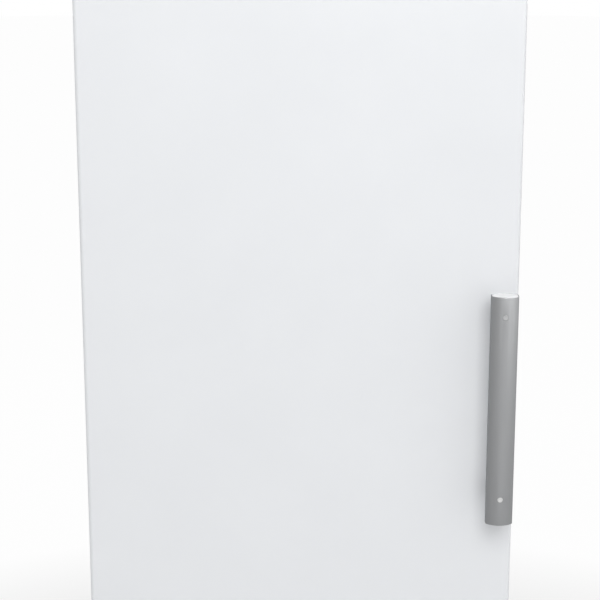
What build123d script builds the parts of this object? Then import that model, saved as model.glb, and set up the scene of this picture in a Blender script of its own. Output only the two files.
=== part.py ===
"""Upright single-door freezer: insulated steel cabinet, left-hinged door with a bar handle, seven
drawers on glass shelves, a cooled-air duct with its fan, and the refrigeration set at the back.

Frame: millimetres, +Z up, front towards -Y, origin on the floor under the middle of the whole object.
"""
import os
from math import cos, radians, sin

from build123d import *

# ------------------------------------------------------------------ overall sizes
cabinet_width = 595.0
cabinet_height = 1750.0  # floor to the top of the lid
cabinet_depth = 530.0  # sealing face to back panel
base_height = 22.0  # floor to the underside of the cabinet
lid_height = 25.0
skin = 0.8  # painted steel sheet
base_sheet = 1.0  # zinc-plated base sheet
touch_gap = 0.3  # seat clearance between rigid pieces that slide or drop in

# ------------------------------------------------------------------ insulation and cavity
side_wall = 62.0
back_wall = 70.0
floor_wall = 104.0
top_wall = 116.0
machine_height = 230.0  # compressor recess, above the base
machine_depth = 215.0  # compressor recess, from the back panel
step_wall = 50.0  # insulation over the compressor recess
liner = 2.0
cavity_corner = 10.0
lid_wall = 2.0
lid_corner = 4.0
flange_width = 36.0  # steel sealing face round the opening
flange_lip = 10.0
bend = 2.5  # outside bend radius of the cabinet sheets

# ------------------------------------------------------------------ door
door_depth = 62.0
door_bottom = 70.0
door_gap = 4.0  # door to fascia
door_edge_radius = 6.0
door_lip = 12.0
door_cap_plate = 4.0  # visible thickness of the end caps
door_cap_plug = 12.0
door_cap_wall = 3.0
fascia_height = 56.0
gasket_depth = 12.0
gasket_width = 16.0
gasket_inset = 16.0  # door edge to gasket
gasket_neck = 7.0
gasket_foot = 12.0
gasket_foot_depth = 2.0
gasket_head_depth = 5.0
dart_width = 2.6
dart_depth = 5.0
dart_slack = 0.2
channel_wall = 2.0
plateau_rise = 9.0  # raised middle of the inner door
plateau_margin = 46.0  # door edge to the raised middle
panel_recess = 3.0
panel_count = 3
panel_margin = 26.0
panel_corner = 14.0
liner_edge = 1.2

# ------------------------------------------------------------------ handle
handle_length = 323.0
handle_width = 37.0
bar_depth = 26.0
bar_front_rise = 8.0  # crown of the front face
bar_back_rise = 6.0
bar_edge_radius = 5.0
bar_end_edge = 0.6
handle_standoff = 32.0
handle_edge_gap = 5.5  # bar to the free edge of the door
handle_middle_z = 957.0
screw_pitch = 258.0
screw_lift = 5.0  # the screws sit a little above the middle of the bar
post_width = 20.0
post_height = 28.0
handle_shank_radius = 2.0
handle_head_radius = 3.4
handle_head_depth = 3.0
screw_reach = 14.0  # screw length inside the door
cap_radius = 3.7
cap_depth = 2.2
cap_edge = 0.5
fit_slack = 0.15  # radial slack round screws and caps

# ------------------------------------------------------------------ hinges
hinge_inset = 10.0  # pin to the hinge-side edge of the door
hinge_setback = 35.0  # pin in front of the sealing face
pin_radius = 4.0
pin_slack = 0.05
pin_reach = 13.0
bush_wall = 2.5
hinge_plate = 3.0
hinge_washer = 3.0
hinge_arm_width = 30.0
hinge_leaf_width = 74.0
lower_leaf_height = 36.0
upper_leaf_height = 24.0
hinge_screw_radius = 2.5
hinge_screw_head = 4.5
hinge_screw_head_depth = 3.0
hinge_screw_pitch = 26.0
hinge_screw_length = 14.0

# ------------------------------------------------------------------ shelves and drawers
upper_drawers = 6  # full-depth drawers above the short one
glass = 5.0
glass_side_gap = 2.0
shelf_setback = 42.0
rib_width = 9.0
rib_height = 8.0
rib_setback = 62.0
duct_depth = 50.0
duct_wall = 2.5
drawer_setback = 40.0  # sealing face to drawer front
drawer_side_gap = 4.0
drawer_top_gap = 11.0
drawer_back_gap = 6.0
drawer_front = 3.5
drawer_wall = 2.2
bin_height_share = 0.72  # side walls against the height of the front
bin_corner = 12.0
bin_foot = 4.0  # bevel round the bottom of a drawer
front_corner = 8.0
grip_width = 150.0
grip_depth = 14.0
grip_height = 28.0
grip_wall = 2.5

# ------------------------------------------------------------------ feet and rollers
foot_inset_x = 48.0
foot_inset_y = 40.0
foot_pad_radius = 17.0
foot_pad_height = 8.0
foot_stud_radius = 4.0
foot_stud_reach = 20.0  # stud above the underside of the base
foot_travel = 12.0
foot_slack = 0.1
socket_radius = 8.0
socket_cap = 2.0
roller_radius = 17.0
roller_width = 14.0
roller_inset_x = 40.0
roller_inset_y = 34.0
axle_radius = 3.0
axle_slack = 0.08
ear_sheet = 2.0
ear_gap = 1.0
rail_margin = 8.0
rail_ear_height = 18.0

# ------------------------------------------------------------------ refrigeration set
condenser_gap = 15.0  # back panel to the wires
tube_radius = 2.5
wire_radius = 0.8
bracket_sheet = 1.5
bracket_height = 24.0
bracket_foot = 18.0
bracket_finger = 10.0
condenser_passes = 13  # odd, so that it ends on the far side
condenser_pitch = 92.0
condenser_bend = 22.0
condenser_bottom = 330.0
condenser_margin = 72.5  # side of the cabinet to the end of the condenser's straight runs
condenser_wires_per_side = 24
compressor_x = 60.0
compressor_length = 190.0
compressor_width = 140.0
compressor_body = 152.0
compressor_dome = 34.0
dome_steps = 3  # pressed rings that round the top of the shell
compressor_corner = 60.0
compressor_plate = 3.0
seam_proud = 2.5
seam_height = 6.0
relay_width = 54.0
relay_height = 58.0
relay_depth = 24.0
grommet_height = 14.0
grommet_share = 0.6  # of the grommet under the foot plate
grommet_radius = 11.0
grommet_neck = 7.5
grommet_spread_x = 185.0
grommet_spread_y = 116.0
bolt_radius = 3.5
line_z = 140.0  # height at which the lines enter the compressor
discharge_margin = 47.5  # side of the cabinet to the discharge line
suction_tube = 4.0
suction_radius = 9.0
capillary_radius = 1.2
capillary_drop = 30.0
drier_radius = 9.0
drier_length = 96.0
drier_top = 200.0
drier_setback = 40.0
drain_radius = 8.0
drain_setback = 22.0
rail_sheet = 2.0
rail_lift = 4.0  # base sheet level to the underside of the rail
tray_height = 30.0
tray_wall = 2.0
tray_length = 150.0
tray_width = 110.0
fan_radius = 50.0
fan_blades = 7
fan_hub_radius = 16.0
fan_ring_wall = 3.0
fan_tip_gap = 4.0
fan_rise = 105.0  # above the second shelf
rotor_depth = 16.0
blade_pitch = 58.0
blade_sheet = 1.6
blade_chord = 20.0
motor_radius = 22.0
motor_shaft_radius = 2.5
motor_arm = 6.0
coil_height = 170.0
coil_margin = 70.5  # side of the cavity to the coil
coil_bare_end = 20.0  # tube past the last fin
coil_depth = 32.0
coil_rows = 4
coil_tube_radius = 4.0
coil_lift = 28.0
coil_clearance = 4.0
fin_count = 11
fin_sheet = 0.8
outlet_rows = 2
outlet_width = 130.0
outlet_height = 6.0
outlet_spread = 130.0
outlet_drop = 16.0
return_rows = 3
return_half = 170.0

# ------------------------------------------------------------------ control panel, plinth, inlet
panel_wall = 2.5
knob_x = 150.0
knob_radius = 15.0
knob_proud = 9.0
knob_shaft_radius = 3.0
shaft_slack = 0.1
button_x = 210.0
button_size = 14.0
button_proud = 3.0
button_travel = 2.0
button_slack = 0.3
lens_x = 90.0
lens_pitch = 14.0
lens_radius = 2.5
knob_edge = 1.5
pointer_width = 2.0
pointer_depth = 1.0
button_flange = 2.0
lens_count = 3
lens_proud = 0.4
board_x = 150.0
board_length = 190.0
board_height = 34.0
board_sheet = 1.6
board_setback = 14.0
boss_radius = 3.0
chip_height = 8.0
plinth_bottom = 10.0
plinth_top = 60.0
plinth_reach = 34.0
slot_height = 4.0
vent_rows = 4
vent_length = 90.0
inlet_margin = 102.5  # side of the cabinet to the middle of the inlet
inlet_width = 48.0
inlet_depth = 30.0
inlet_height = 28.0
socket_half_width = 14.0
socket_half_height = 9.0
contact_pitch = 7.0
contact_rise = 3.0
contact_sheet = 2.0

# ------------------------------------------------------------------ planes worked out from the sizes
half = cabinet_width / 2
condenser_reach = condenser_gap + 4 * wire_radius + 2 * tube_radius + bracket_sheet + touch_gap
overall_depth = (
    bar_depth + handle_standoff + door_depth + gasket_depth + cabinet_depth + condenser_reach
)
handle_front = -overall_depth / 2
handle_back = handle_front + bar_depth
door_front = handle_back + handle_standoff
door_back = door_front + door_depth
front = door_back + gasket_depth  # sealing face of the cabinet
back = front + cabinet_depth
lid_z = cabinet_height - lid_height
fascia_z = cabinet_height - fascia_height
door_top = fascia_z - door_gap
cavity_half = half - side_wall
cavity_floor = base_height + floor_wall
cavity_top = cabinet_height - top_wall
cavity_back = back - back_wall
recess_top = base_height + machine_height
recess_front = back - machine_depth
step_y = recess_front - step_wall
step_z = recess_top + step_wall
duct_front = cavity_back - duct_depth
seal_half = half - flange_width
seal_bottom = door_bottom + flange_width
seal_top = door_top - flange_width
pivot_x = -half + hinge_inset
pivot_y = front - hinge_setback
handle_x = half - handle_edge_gap - handle_width / 2
condenser_half_width = half - condenser_margin
discharge_x = half - discharge_margin
inlet_x = half - inlet_margin
coil_half_width = cavity_half - coil_margin
coil_fin_half = coil_half_width - coil_bare_end
shelf_pitch = (cavity_top - step_z) / upper_drawers
shelf_levels = [step_z + i * shelf_pitch for i in range(upper_drawers)]

os.makedirs("parts", exist_ok=True)


def save(piece, label):
    """Names the finished piece and writes it."""
    piece.part.label = label
    export_step(piece.part, f"parts/{label}.step")


def block(x, y, z, mode=Mode.ADD):
    """Box between two limits on each axis."""
    middle = ((x[0] + x[1]) / 2, (y[0] + y[1]) / 2, (z[0] + z[1]) / 2)
    with Locations(middle):
        Box(x[1] - x[0], y[1] - y[0], z[1] - z[0], mode=mode)


def drill(x, y, z, radius, along, mode=Mode.SUBTRACT):
    """Round bar or hole. One of x, y, z is a pair of limits, which is the direction that along names."""
    spans = {"X": x, "Y": y, "Z": z}
    start, stop = spans[along]
    spans[along] = (start + stop) / 2
    turn = {"X": (0, 90, 0), "Y": (90, 0, 0), "Z": (0, 0, 0)}[along]
    with Locations((spans["X"], spans["Y"], spans["Z"])):
        Cylinder(radius, stop - start, rotation=turn, mode=mode)


def folded(points, thickness, radius, side, plane, amount, both=False):
    """Folded sheet: its outer face follows the points, and the section is drawn out by amount."""
    with BuildSketch(plane) as section:
        with BuildLine():
            FilletPolyline(*points, radius=radius)
            offset(amount=thickness, side=side)
        make_face()
    extrude(section.sketch, amount=amount, both=both)


def panel(x, z, near, far, radius, mode=Mode.ADD):
    """Plate parallel to the door, between two depths, with rounded corners."""
    with BuildSketch(Plane.XZ.offset(-far)) as outline:
        with Locations(((x[0] + x[1]) / 2, (z[0] + z[1]) / 2)):
            RectangleRounded(x[1] - x[0], z[1] - z[0], radius)
    extrude(outline.sketch, amount=far - near, mode=mode)


def door_frame(inset, width, near, far, mode=Mode.ADD):
    """Rectangular frame parallel to the door, measured in from the door's edges."""
    outer_x = cabinet_width - 2 * inset
    outer_z = door_top - door_bottom - 2 * inset
    with BuildSketch(Plane.XZ.offset(-far)) as ring:
        with Locations((0, (door_bottom + door_top) / 2)):
            Rectangle(outer_x, outer_z)
            Rectangle(outer_x - 2 * width, outer_z - 2 * width, mode=Mode.SUBTRACT)
    extrude(ring.sketch, amount=far - near, mode=mode)


def hex_rod(points, bend_radius, across, plane, turn):
    """Bent rod or tube line of six-sided section that follows the points."""
    with BuildLine() as route:
        FilletPolyline(*points, radius=bend_radius)
    with BuildSketch(plane) as section:
        RegularPolygon(across, 6, major_radius=False, rotation=turn)
    sweep(section.sketch, path=route.line)


def door_outline(z, inset, rear):
    """Plan outline of the door body, with its front corners rounded."""
    with BuildSketch(Plane.XY.offset(z)) as outline:
        with BuildLine():
            FilletPolyline(
                (-half + inset, rear),
                (-half + inset, door_front + inset),
                (half - inset, door_front + inset),
                (half - inset, rear),
                radius=door_edge_radius - inset,
            )
            Line((half - inset, rear), (-half + inset, rear))
        make_face()
    return outline.sketch


# ================================================================== places shared by several pieces
foot_x = half - foot_inset_x
foot_y = front + foot_inset_y
socket_bore = base_height + foot_stud_reach + foot_travel + touch_gap
socket_top = socket_bore + socket_cap
compressor_y = (recess_front + back) / 2 + touch_gap
plate_z = base_height + rail_lift + rail_sheet + grommet_height * grommet_share
shell_z = plate_z + compressor_plate
shell_top = shell_z + compressor_body
drain_x = compressor_x - compressor_dome
drain_y = cavity_back - drain_setback
fan_z = step_z + shelf_pitch + fan_rise
coil_bottom = step_z + coil_lift
coil_front = duct_front + duct_wall + coil_clearance
suction_x = -(coil_half_width + coil_fin_half) / 2
suction_y = coil_front + coil_depth * 0.27
condenser_y = back + condenser_gap + 2 * wire_radius + tube_radius
leaf_x = pivot_x - hinge_inset / 2 + hinge_leaf_width / 2
lower_plate_z = door_bottom - hinge_washer - hinge_plate
upper_plate_z = fascia_z + panel_wall
lower_screw_z = lower_plate_z + hinge_plate - lower_leaf_height * 0.65
upper_screw_z = upper_plate_z + upper_leaf_height * 0.6
hinge_screw_spots = [
    (leaf_x + step * hinge_screw_pitch, z)
    for z in (lower_screw_z, upper_screw_z)
    for step in (-1, 0, 1)
]
screw_middle_z = handle_middle_z + screw_lift
handle_screw_levels = [screw_middle_z - screw_pitch / 2, screw_middle_z + screw_pitch / 2]

# ================================================================== cabinet sheets
for sign, label, side in ((-1, "side_panel_left", Side.RIGHT), (1, "side_panel_right", Side.LEFT)):
    with BuildPart() as side_panel:
        route = [
            (sign * seal_half, front + flange_lip),
            (sign * seal_half, front),
            (sign * half, front),
            (sign * half, back),
            (sign * (half - flange_lip), back),
        ]
        folded(route, skin, bend, side, Plane.XY.offset(base_height), lid_z - base_height)
        for x, z in hinge_screw_spots:
            if sign < 0:
                drill(x, (front, front + skin), z, hinge_screw_radius, "Y")
    save(side_panel, label)
    if sign < 0:
        panel_left = side_panel.part
    else:
        panel_right = side_panel.part

with BuildPart() as front_rails:
    top_route = [
        (front + flange_lip, seal_top),
        (front, seal_top),
        (front, lid_z),
        (front + flange_lip, lid_z),
    ]
    folded(top_route, skin, bend, Side.RIGHT, Plane.YZ, seal_half, both=True)
    bottom_route = [
        (front + flange_lip, seal_bottom),
        (front, seal_bottom),
        (front, base_height),
        (front + flange_lip, base_height),
    ]
    folded(bottom_route, skin, bend, Side.LEFT, Plane.YZ, seal_half, both=True)
    for x, z in hinge_screw_spots:
        drill(x, (front, front + skin), z, hinge_screw_radius, "Y")
save(front_rails, "front_rails")

with BuildPart() as back_panel:
    block((-half + bend, half - bend), (back - 2 * skin, back - skin), (recess_top, lid_z))
save(back_panel, "back_panel")

with BuildPart() as base_frame:
    base_route = [
        (front + flange_lip, base_height),
        (recess_front, base_height),
        (recess_front, recess_top),
        (back - 2 * skin, recess_top),
    ]
    folded(base_route, base_sheet, bend, Side.LEFT, Plane.YZ, half - skin, both=True)
    recess_span = (recess_top - base_sheet, recess_top + 2 * base_sheet)
    drill(drain_x, drain_y, recess_span, drain_radius, "Z")
    drill(suction_x, suction_y, recess_span, suction_radius, "Z")
    for x in (-foot_x, foot_x):
        drill(x, foot_y, (base_height, socket_top), socket_radius, "Z", Mode.ADD)
        drill(x, foot_y, (base_height, socket_bore), foot_stud_radius + foot_slack, "Z")
    for piece in (panel_left, panel_right):
        add(piece, mode=Mode.SUBTRACT)
save(base_frame, "base_frame")

with BuildPart() as top_lid:
    block((-half, half), (front, back), (lid_z, cabinet_height))
    fillet(top_lid.edges().filter_by(Axis.Z), lid_corner)
    block(
        (-half + lid_wall, half - lid_wall),
        (front + lid_wall, back - lid_wall),
        (lid_z, cabinet_height - lid_wall),
        Mode.SUBTRACT,
    )
save(top_lid, "top_lid")


# ================================================================== liner and insulation
def cavity(grow):
    """Cooled space, with its step over the compressor recess, grown outwards on every wall."""
    profile = [
        (front, cavity_floor - grow),
        (step_y + grow, cavity_floor - grow),
        (step_y + grow, step_z - grow),
        (cavity_back + grow, step_z - grow),
        (cavity_back + grow, cavity_top + grow),
        (front, cavity_top + grow),
    ]
    with BuildPart() as space:
        with BuildSketch(Plane.YZ) as section:
            with BuildLine():
                Polyline(*profile, close=True)
            make_face()
        extrude(section.sketch, amount=cavity_half + grow, both=True)
        along = space.edges().filter_by(Axis.Y)
        fillet(along.group_by(Axis.Z)[-1] + along.group_by(Axis.Z)[0], cavity_corner + grow)
    return space.part


with BuildPart() as cabinet_liner:
    add(cavity(liner))
    block((-seal_half, seal_half), (front, front + liner), (seal_bottom, seal_top))
    with BuildSketch(Plane.XZ.offset(-front)) as lip:
        with Locations((0, (seal_bottom + seal_top) / 2)):
            Rectangle(2 * seal_half, seal_top - seal_bottom)
            Rectangle(
                2 * (seal_half - liner), seal_top - seal_bottom - 2 * liner, mode=Mode.SUBTRACT
            )
    extrude(lip.sketch, amount=-flange_lip)
    add(cavity(0), mode=Mode.SUBTRACT)
    for level in shelf_levels:
        for sign in (-1, 1):
            wall = sorted((sign * (cavity_half - rib_width), sign * (cavity_half + liner / 2)))
            block(wall, (front + rib_setback, duct_front - duct_wall), (level - rib_height, level))
    drill(drain_x, drain_y, (step_z - 2 * liner, step_z + liner), drain_radius - tray_wall, "Z")
    drill(suction_x, suction_y, (step_z - 2 * liner, step_z + liner), suction_radius, "Z")
save(cabinet_liner, "cabinet_liner")

with BuildPart() as drain_tube:
    drill(drain_x, drain_y, (shell_top + tray_wall * 4, step_z - liner), drain_radius, "Z", Mode.ADD)
    drill(drain_x, drain_y, (shell_top, step_z), drain_radius - tray_wall, "Z")
save(drain_tube, "drain_tube")

with BuildPart() as cabinet_foam:
    block(
        (-half + skin, half - skin),
        (front + skin, back - 2 * skin),
        (base_height + base_sheet, lid_z),
    )
    block(
        (-half + lid_wall, half - lid_wall),
        (front + lid_wall, back - lid_wall),
        (lid_z, cabinet_height - lid_wall),
    )
    block(
        (-half, half),
        (recess_front - base_sheet, back + liner),
        (base_height, recess_top + base_sheet),
        Mode.SUBTRACT,
    )
    add(cavity(liner), mode=Mode.SUBTRACT)
    for piece in (panel_left, panel_right, front_rails.part, base_frame.part, cabinet_liner.part):
        add(piece, mode=Mode.SUBTRACT)
    for x in (-foot_x, foot_x):
        drill(x, foot_y, (base_height, socket_top), socket_radius, "Z")
    drill(drain_x, drain_y, (recess_top, step_z), drain_radius, "Z")
    drill(suction_x, suction_y, (recess_top, step_z), suction_radius, "Z")
    for x, z in hinge_screw_spots:
        drill(x, (front, front + hinge_screw_length), z, hinge_screw_radius, "Y")
save(cabinet_foam, "cabinet_foam")

# ================================================================== shelves, air duct, evaporator
with BuildPart() as glass_shelves:
    for level in shelf_levels:
        block(
            (-cavity_half + glass_side_gap, cavity_half - glass_side_gap),
            (front + shelf_setback, duct_front - touch_gap),
            (level, level + glass),
        )
save(glass_shelves, "glass_shelves")

with BuildPart() as evaporator_cover:
    cover_x = (-cavity_half + touch_gap, cavity_half - touch_gap)
    cover_z = (step_z, cavity_top - cavity_corner)
    block(cover_x, (duct_front, cavity_back - touch_gap), cover_z)
    block(
        (cover_x[0] + duct_wall, cover_x[1] - duct_wall),
        (duct_front + duct_wall, cavity_back),
        (cover_z[0] + duct_wall, cover_z[1] - duct_wall),
        Mode.SUBTRACT,
    )
    wall_span = (duct_front - duct_wall, duct_front + 2 * duct_wall)
    for level in shelf_levels:
        for side in (-1, 1):
            for row in range(outlet_rows):
                z = level + shelf_pitch - outlet_drop - row * 2 * outlet_height
                middle = side * outlet_spread
                reach = (middle - outlet_width / 2, middle + outlet_width / 2)
                block(reach, wall_span, (z - outlet_height, z), Mode.SUBTRACT)
    for row in range(return_rows):
        z = step_z + glass + (row + 1) * 2 * outlet_height
        reach = (-return_half, return_half)
        block(reach, wall_span, (z, z + outlet_height), Mode.SUBTRACT)
    drill(0, wall_span, fan_z, fan_radius, "Y")
    grille_span = (duct_front, duct_front + duct_wall)
    for share in (0.33, 0.66):
        drill(0, grille_span, fan_z, fan_radius * share, "Y", Mode.ADD)
        drill(0, grille_span, fan_z, fan_radius * share - fan_ring_wall, "Y")
    block((-fan_radius, fan_radius), grille_span, (fan_z - duct_wall / 2, fan_z + duct_wall / 2))
    block((-duct_wall / 2, duct_wall / 2), grille_span, (fan_z - fan_radius, fan_z + fan_radius))
    drill(drain_x, drain_y, (step_z - liner, step_z + 2 * duct_wall), drain_radius, "Z")
    drill(suction_x, suction_y, (step_z - liner, step_z + 2 * duct_wall), suction_radius, "Z")
save(evaporator_cover, "evaporator_cover")

with BuildPart() as evaporator_coil:
    row_pitch = coil_height / coil_rows
    tube_y = (coil_front + coil_depth * 0.27, coil_front + coil_depth * 0.73)
    with BuildSketch(Plane.YZ) as tubes:
        spots = [
            (y, coil_bottom + (row + 0.5) * row_pitch) for row in range(coil_rows) for y in tube_y
        ]
        with Locations(*spots):
            RegularPolygon(coil_tube_radius, 6, major_radius=False)
    extrude(tubes.sketch, amount=coil_half_width, both=True)
    for index in range(fin_count):
        x = -coil_fin_half + index * 2 * coil_fin_half / (fin_count - 1)
        block(
            (x - fin_sheet / 2, x + fin_sheet / 2),
            (coil_front, coil_front + coil_depth),
            (coil_bottom, coil_bottom + coil_height),
        )
    for sign in (-1, 1):
        for row in range(coil_rows):
            z = coil_bottom + (row + 0.5) * row_pitch
            bend_x = sorted((sign * coil_half_width, sign * (coil_half_width - 2 * coil_tube_radius)))
            if sign > 0:
                block(bend_x, tube_y, (z - coil_tube_radius, z + coil_tube_radius))
            elif row < coil_rows - 1:
                y = tube_y[row % 2]
                tube_span = (y - coil_tube_radius, y + coil_tube_radius)
                block(bend_x, tube_span, (z, z + row_pitch))
    for sign in (-1, 1):
        bracket = sorted((sign * coil_fin_half, sign * (coil_fin_half + coil_tube_radius)))
        block(bracket, (coil_front + coil_depth, cavity_back), (coil_bottom, coil_bottom + row_pitch))
        block(bracket, (coil_front, coil_front + coil_depth), (coil_bottom, coil_bottom + row_pitch))
save(evaporator_coil, "evaporator_coil")

rotor_front = duct_front + duct_wall + fan_tip_gap
rotor_back = rotor_front + rotor_depth
with BuildPart() as fan_motor:
    drill(0, (rotor_back + fan_tip_gap, cavity_back), fan_z, motor_radius, "Y", Mode.ADD)
    drill(0, (rotor_front, cavity_back), fan_z, motor_shaft_radius, "Y", Mode.ADD)
    for sign in (-1, 1):
        arm = sorted((0, sign * (fan_radius + motor_radius / 2)))
        block(arm, (cavity_back - motor_arm, cavity_back), (fan_z - motor_arm, fan_z + motor_arm))
save(fan_motor, "fan_motor")

with BuildPart() as fan_rotor:
    drill(0, (rotor_front, rotor_back), fan_z, fan_hub_radius, "Y", Mode.ADD)
    for index in range(fan_blades):
        angle = index * 360 / fan_blades
        root = fan_hub_radius * 0.8
        reach = fan_radius - fan_tip_gap - root
        turned = Pos(0, (rotor_front + rotor_back) / 2, fan_z) * Rot(0, angle, 0)
        with Locations(turned * Pos(root + reach / 2, 0, 0) * Rot(blade_pitch, 0, 0)):
            Box(reach, blade_sheet, blade_chord)
    drill(0, (rotor_front, rotor_back), fan_z, motor_shaft_radius + axle_slack, "Y")
save(fan_rotor, "fan_rotor")


# ================================================================== drawers
def drawer(label, floor, ceiling, rear):
    """Clear one-piece drawer with a tall front and a hooded grip."""
    outer = cavity_half - drawer_side_gap
    near = front + drawer_setback
    bottom = floor + touch_gap
    top = ceiling - drawer_top_gap
    rim = bottom + (top - bottom) * bin_height_share
    grip_half = grip_width / 2
    with BuildPart() as bin_part:
        with BuildSketch(Plane.XY.offset(bottom)) as outside:
            with Locations((0, (near + rear) / 2)):
                RectangleRounded(2 * outer, rear - near, bin_corner)
        extrude(outside.sketch, amount=rim - bottom)
        chamfer(bin_part.faces().sort_by(Axis.Z)[0].edges(), bin_foot)
        with BuildSketch(Plane.XY.offset(bottom + drawer_wall)) as inside:
            with Locations((0, (near + rear) / 2)):
                RectangleRounded(
                    2 * (outer - drawer_wall), rear - near - 2 * drawer_wall, bin_corner - drawer_wall
                )
        extrude(inside.sketch, amount=top, mode=Mode.SUBTRACT)
        block((-outer, outer), (near - grip_depth, near + drawer_front), (bottom, rim), Mode.SUBTRACT)
        panel((-outer, outer), (bottom, top), near, near + drawer_front, front_corner)
        block((-grip_half, grip_half), (near - grip_depth, near), (top - grip_height, top))
        block(
            (-grip_half + grip_wall, grip_half - grip_wall),
            (near - grip_depth + grip_wall, near),
            (top - grip_height - grip_wall, top - grip_wall),
            Mode.SUBTRACT,
        )
    save(bin_part, label)


drawer("drawer_1", cavity_floor, step_z, step_y - drawer_back_gap)
for index, level in enumerate(shelf_levels):
    roof = level + shelf_pitch
    drawer(f"drawer_{index + 2}", level + glass, roof, duct_front - drawer_back_gap)

# ================================================================== control panel, plinth, feet
board_y = door_front + panel_wall + board_setback
with BuildPart() as control_fascia:
    block((-half, half), (door_front, front), (fascia_z, cabinet_height))
    fillet(control_fascia.edges().filter_by(Axis.Z).group_by(Axis.Y)[0], door_edge_radius)
    block(
        (-half + panel_wall, half - panel_wall),
        (door_front + panel_wall, front + panel_wall),
        (fascia_z + panel_wall, cabinet_height - panel_wall),
        Mode.SUBTRACT,
    )
    fascia_middle = (fascia_z + cabinet_height) / 2
    wall_span = (door_front - panel_wall, door_front + 2 * panel_wall)
    drill(knob_x, wall_span, fascia_middle, knob_shaft_radius + shaft_slack, "Y")
    for step in range(lens_count):
        drill(lens_x + step * lens_pitch, wall_span, fascia_middle, lens_radius, "Y")
    button_half = button_size / 2 + button_slack
    block(
        (button_x - button_half, button_x + button_half),
        wall_span,
        (fascia_middle - button_half, fascia_middle + button_half),
        Mode.SUBTRACT,
    )
    pin_hole = (fascia_z - panel_wall, fascia_z + panel_wall)
    drill(pivot_x, pivot_y, pin_hole, pin_radius + 2 * fit_slack, "Z")
    for x in (board_x - board_length / 2 + boss_radius, board_x + board_length / 2 - boss_radius):
        drill(x, (door_front + panel_wall / 2, board_y), fascia_middle, boss_radius, "Y", Mode.ADD)
save(control_fascia, "control_fascia")

with BuildPart() as indicator_lenses:
    lens_span = (door_front - lens_proud, door_front + panel_wall)
    for step in range(lens_count):
        x = lens_x + step * lens_pitch
        drill(x, lens_span, fascia_middle, lens_radius, "Y", Mode.ADD)
save(indicator_lenses, "indicator_lenses")

with BuildPart() as thermostat_knob:
    knob_span = (door_front - knob_proud, door_front - touch_gap)
    drill(knob_x, knob_span, fascia_middle, knob_radius, "Y", Mode.ADD)
    chamfer(thermostat_knob.faces().sort_by(Axis.Y)[0].edges(), knob_edge)
    shaft_span = (door_front - panel_wall, board_y - 2 * touch_gap)
    drill(knob_x, shaft_span, fascia_middle, knob_shaft_radius, "Y", Mode.ADD)
    pointer = (knob_x - pointer_width / 2, knob_x + pointer_width / 2)
    block(
        pointer,
        (door_front - knob_proud, door_front - knob_proud + pointer_depth),
        (fascia_middle + knob_radius * 0.3, fascia_middle + knob_radius),
        Mode.SUBTRACT,
    )
save(thermostat_knob, "thermostat_knob")

with BuildPart() as super_freeze_button:
    button_half = button_size / 2
    button_back = board_y - button_travel - 2 * touch_gap
    block(
        (button_x - button_half, button_x + button_half),
        (door_front - button_proud, button_back),
        (fascia_middle - button_half, fascia_middle + button_half),
    )
    flange_half = button_half + button_flange
    block(
        (button_x - flange_half, button_x + flange_half),
        (door_front + panel_wall + touch_gap, button_back),
        (fascia_middle - flange_half, fascia_middle + flange_half),
    )
    chamfer(super_freeze_button.faces().sort_by(Axis.Y)[0].edges(), pointer_depth)
save(super_freeze_button, "super_freeze_button")

with BuildPart() as electronics_board:
    board_z = (fascia_middle - board_height / 2, fascia_middle + board_height / 2)
    block(
        (board_x - board_length / 2, board_x + board_length / 2),
        (board_y, board_y + board_sheet),
        board_z,
    )
    for share, length in ((0.12, 26.0), (0.4, 18.0), (0.62, 34.0), (0.86, 14.0)):
        x = board_x - board_length / 2 + share * board_length
        block(
            (x - length / 2, x + length / 2),
            (board_y + board_sheet / 2, board_y + chip_height),
            (fascia_middle - length / 4, fascia_middle + length / 4),
        )
save(electronics_board, "electronics_board")

with BuildPart() as plinth:
    plinth_front = front - plinth_reach
    block((-half, half), (plinth_front, front), (plinth_bottom, plinth_top))
    fillet(plinth.edges().filter_by(Axis.Z).group_by(Axis.Y)[0], door_edge_radius)
    block(
        (-half + panel_wall, half - panel_wall),
        (plinth_front + panel_wall, front + panel_wall),
        (plinth_bottom - panel_wall, plinth_top - panel_wall),
        Mode.SUBTRACT,
    )
    relief = hinge_plate + hinge_screw_head_depth + touch_gap
    block(
        (leaf_x - hinge_leaf_width / 2 - fit_slack, leaf_x + hinge_leaf_width / 2 + fit_slack),
        (front - relief, front + panel_wall),
        (plinth_top - 2 * panel_wall, plinth_top + panel_wall),
        Mode.SUBTRACT,
    )
    vent_span = (plinth_front - panel_wall, plinth_front + 2 * panel_wall)
    for row in range(vent_rows):
        z = plinth_bottom + (row + 2) * 2 * slot_height
        for column in range(-1, 2):
            x = column * (vent_length + 2 * slot_height)
            reach = (x - vent_length / 2, x + vent_length / 2)
            block(reach, vent_span, (z, z + slot_height), Mode.SUBTRACT)
save(plinth, "plinth")

for sign, label in ((-1, "foot_left"), (1, "foot_right")):
    with BuildPart() as foot:
        drill(sign * foot_x, foot_y, (0, foot_pad_height), foot_pad_radius, "Z", Mode.ADD)
        chamfer(foot.faces().sort_by(Axis.Z)[-1].edges(), foot_stud_radius / 2)
        stud_top = base_height + foot_stud_reach
        drill(sign * foot_x, foot_y, (foot_pad_height / 2, stud_top), foot_stud_radius, "Z", Mode.ADD)
    save(foot, label)

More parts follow.
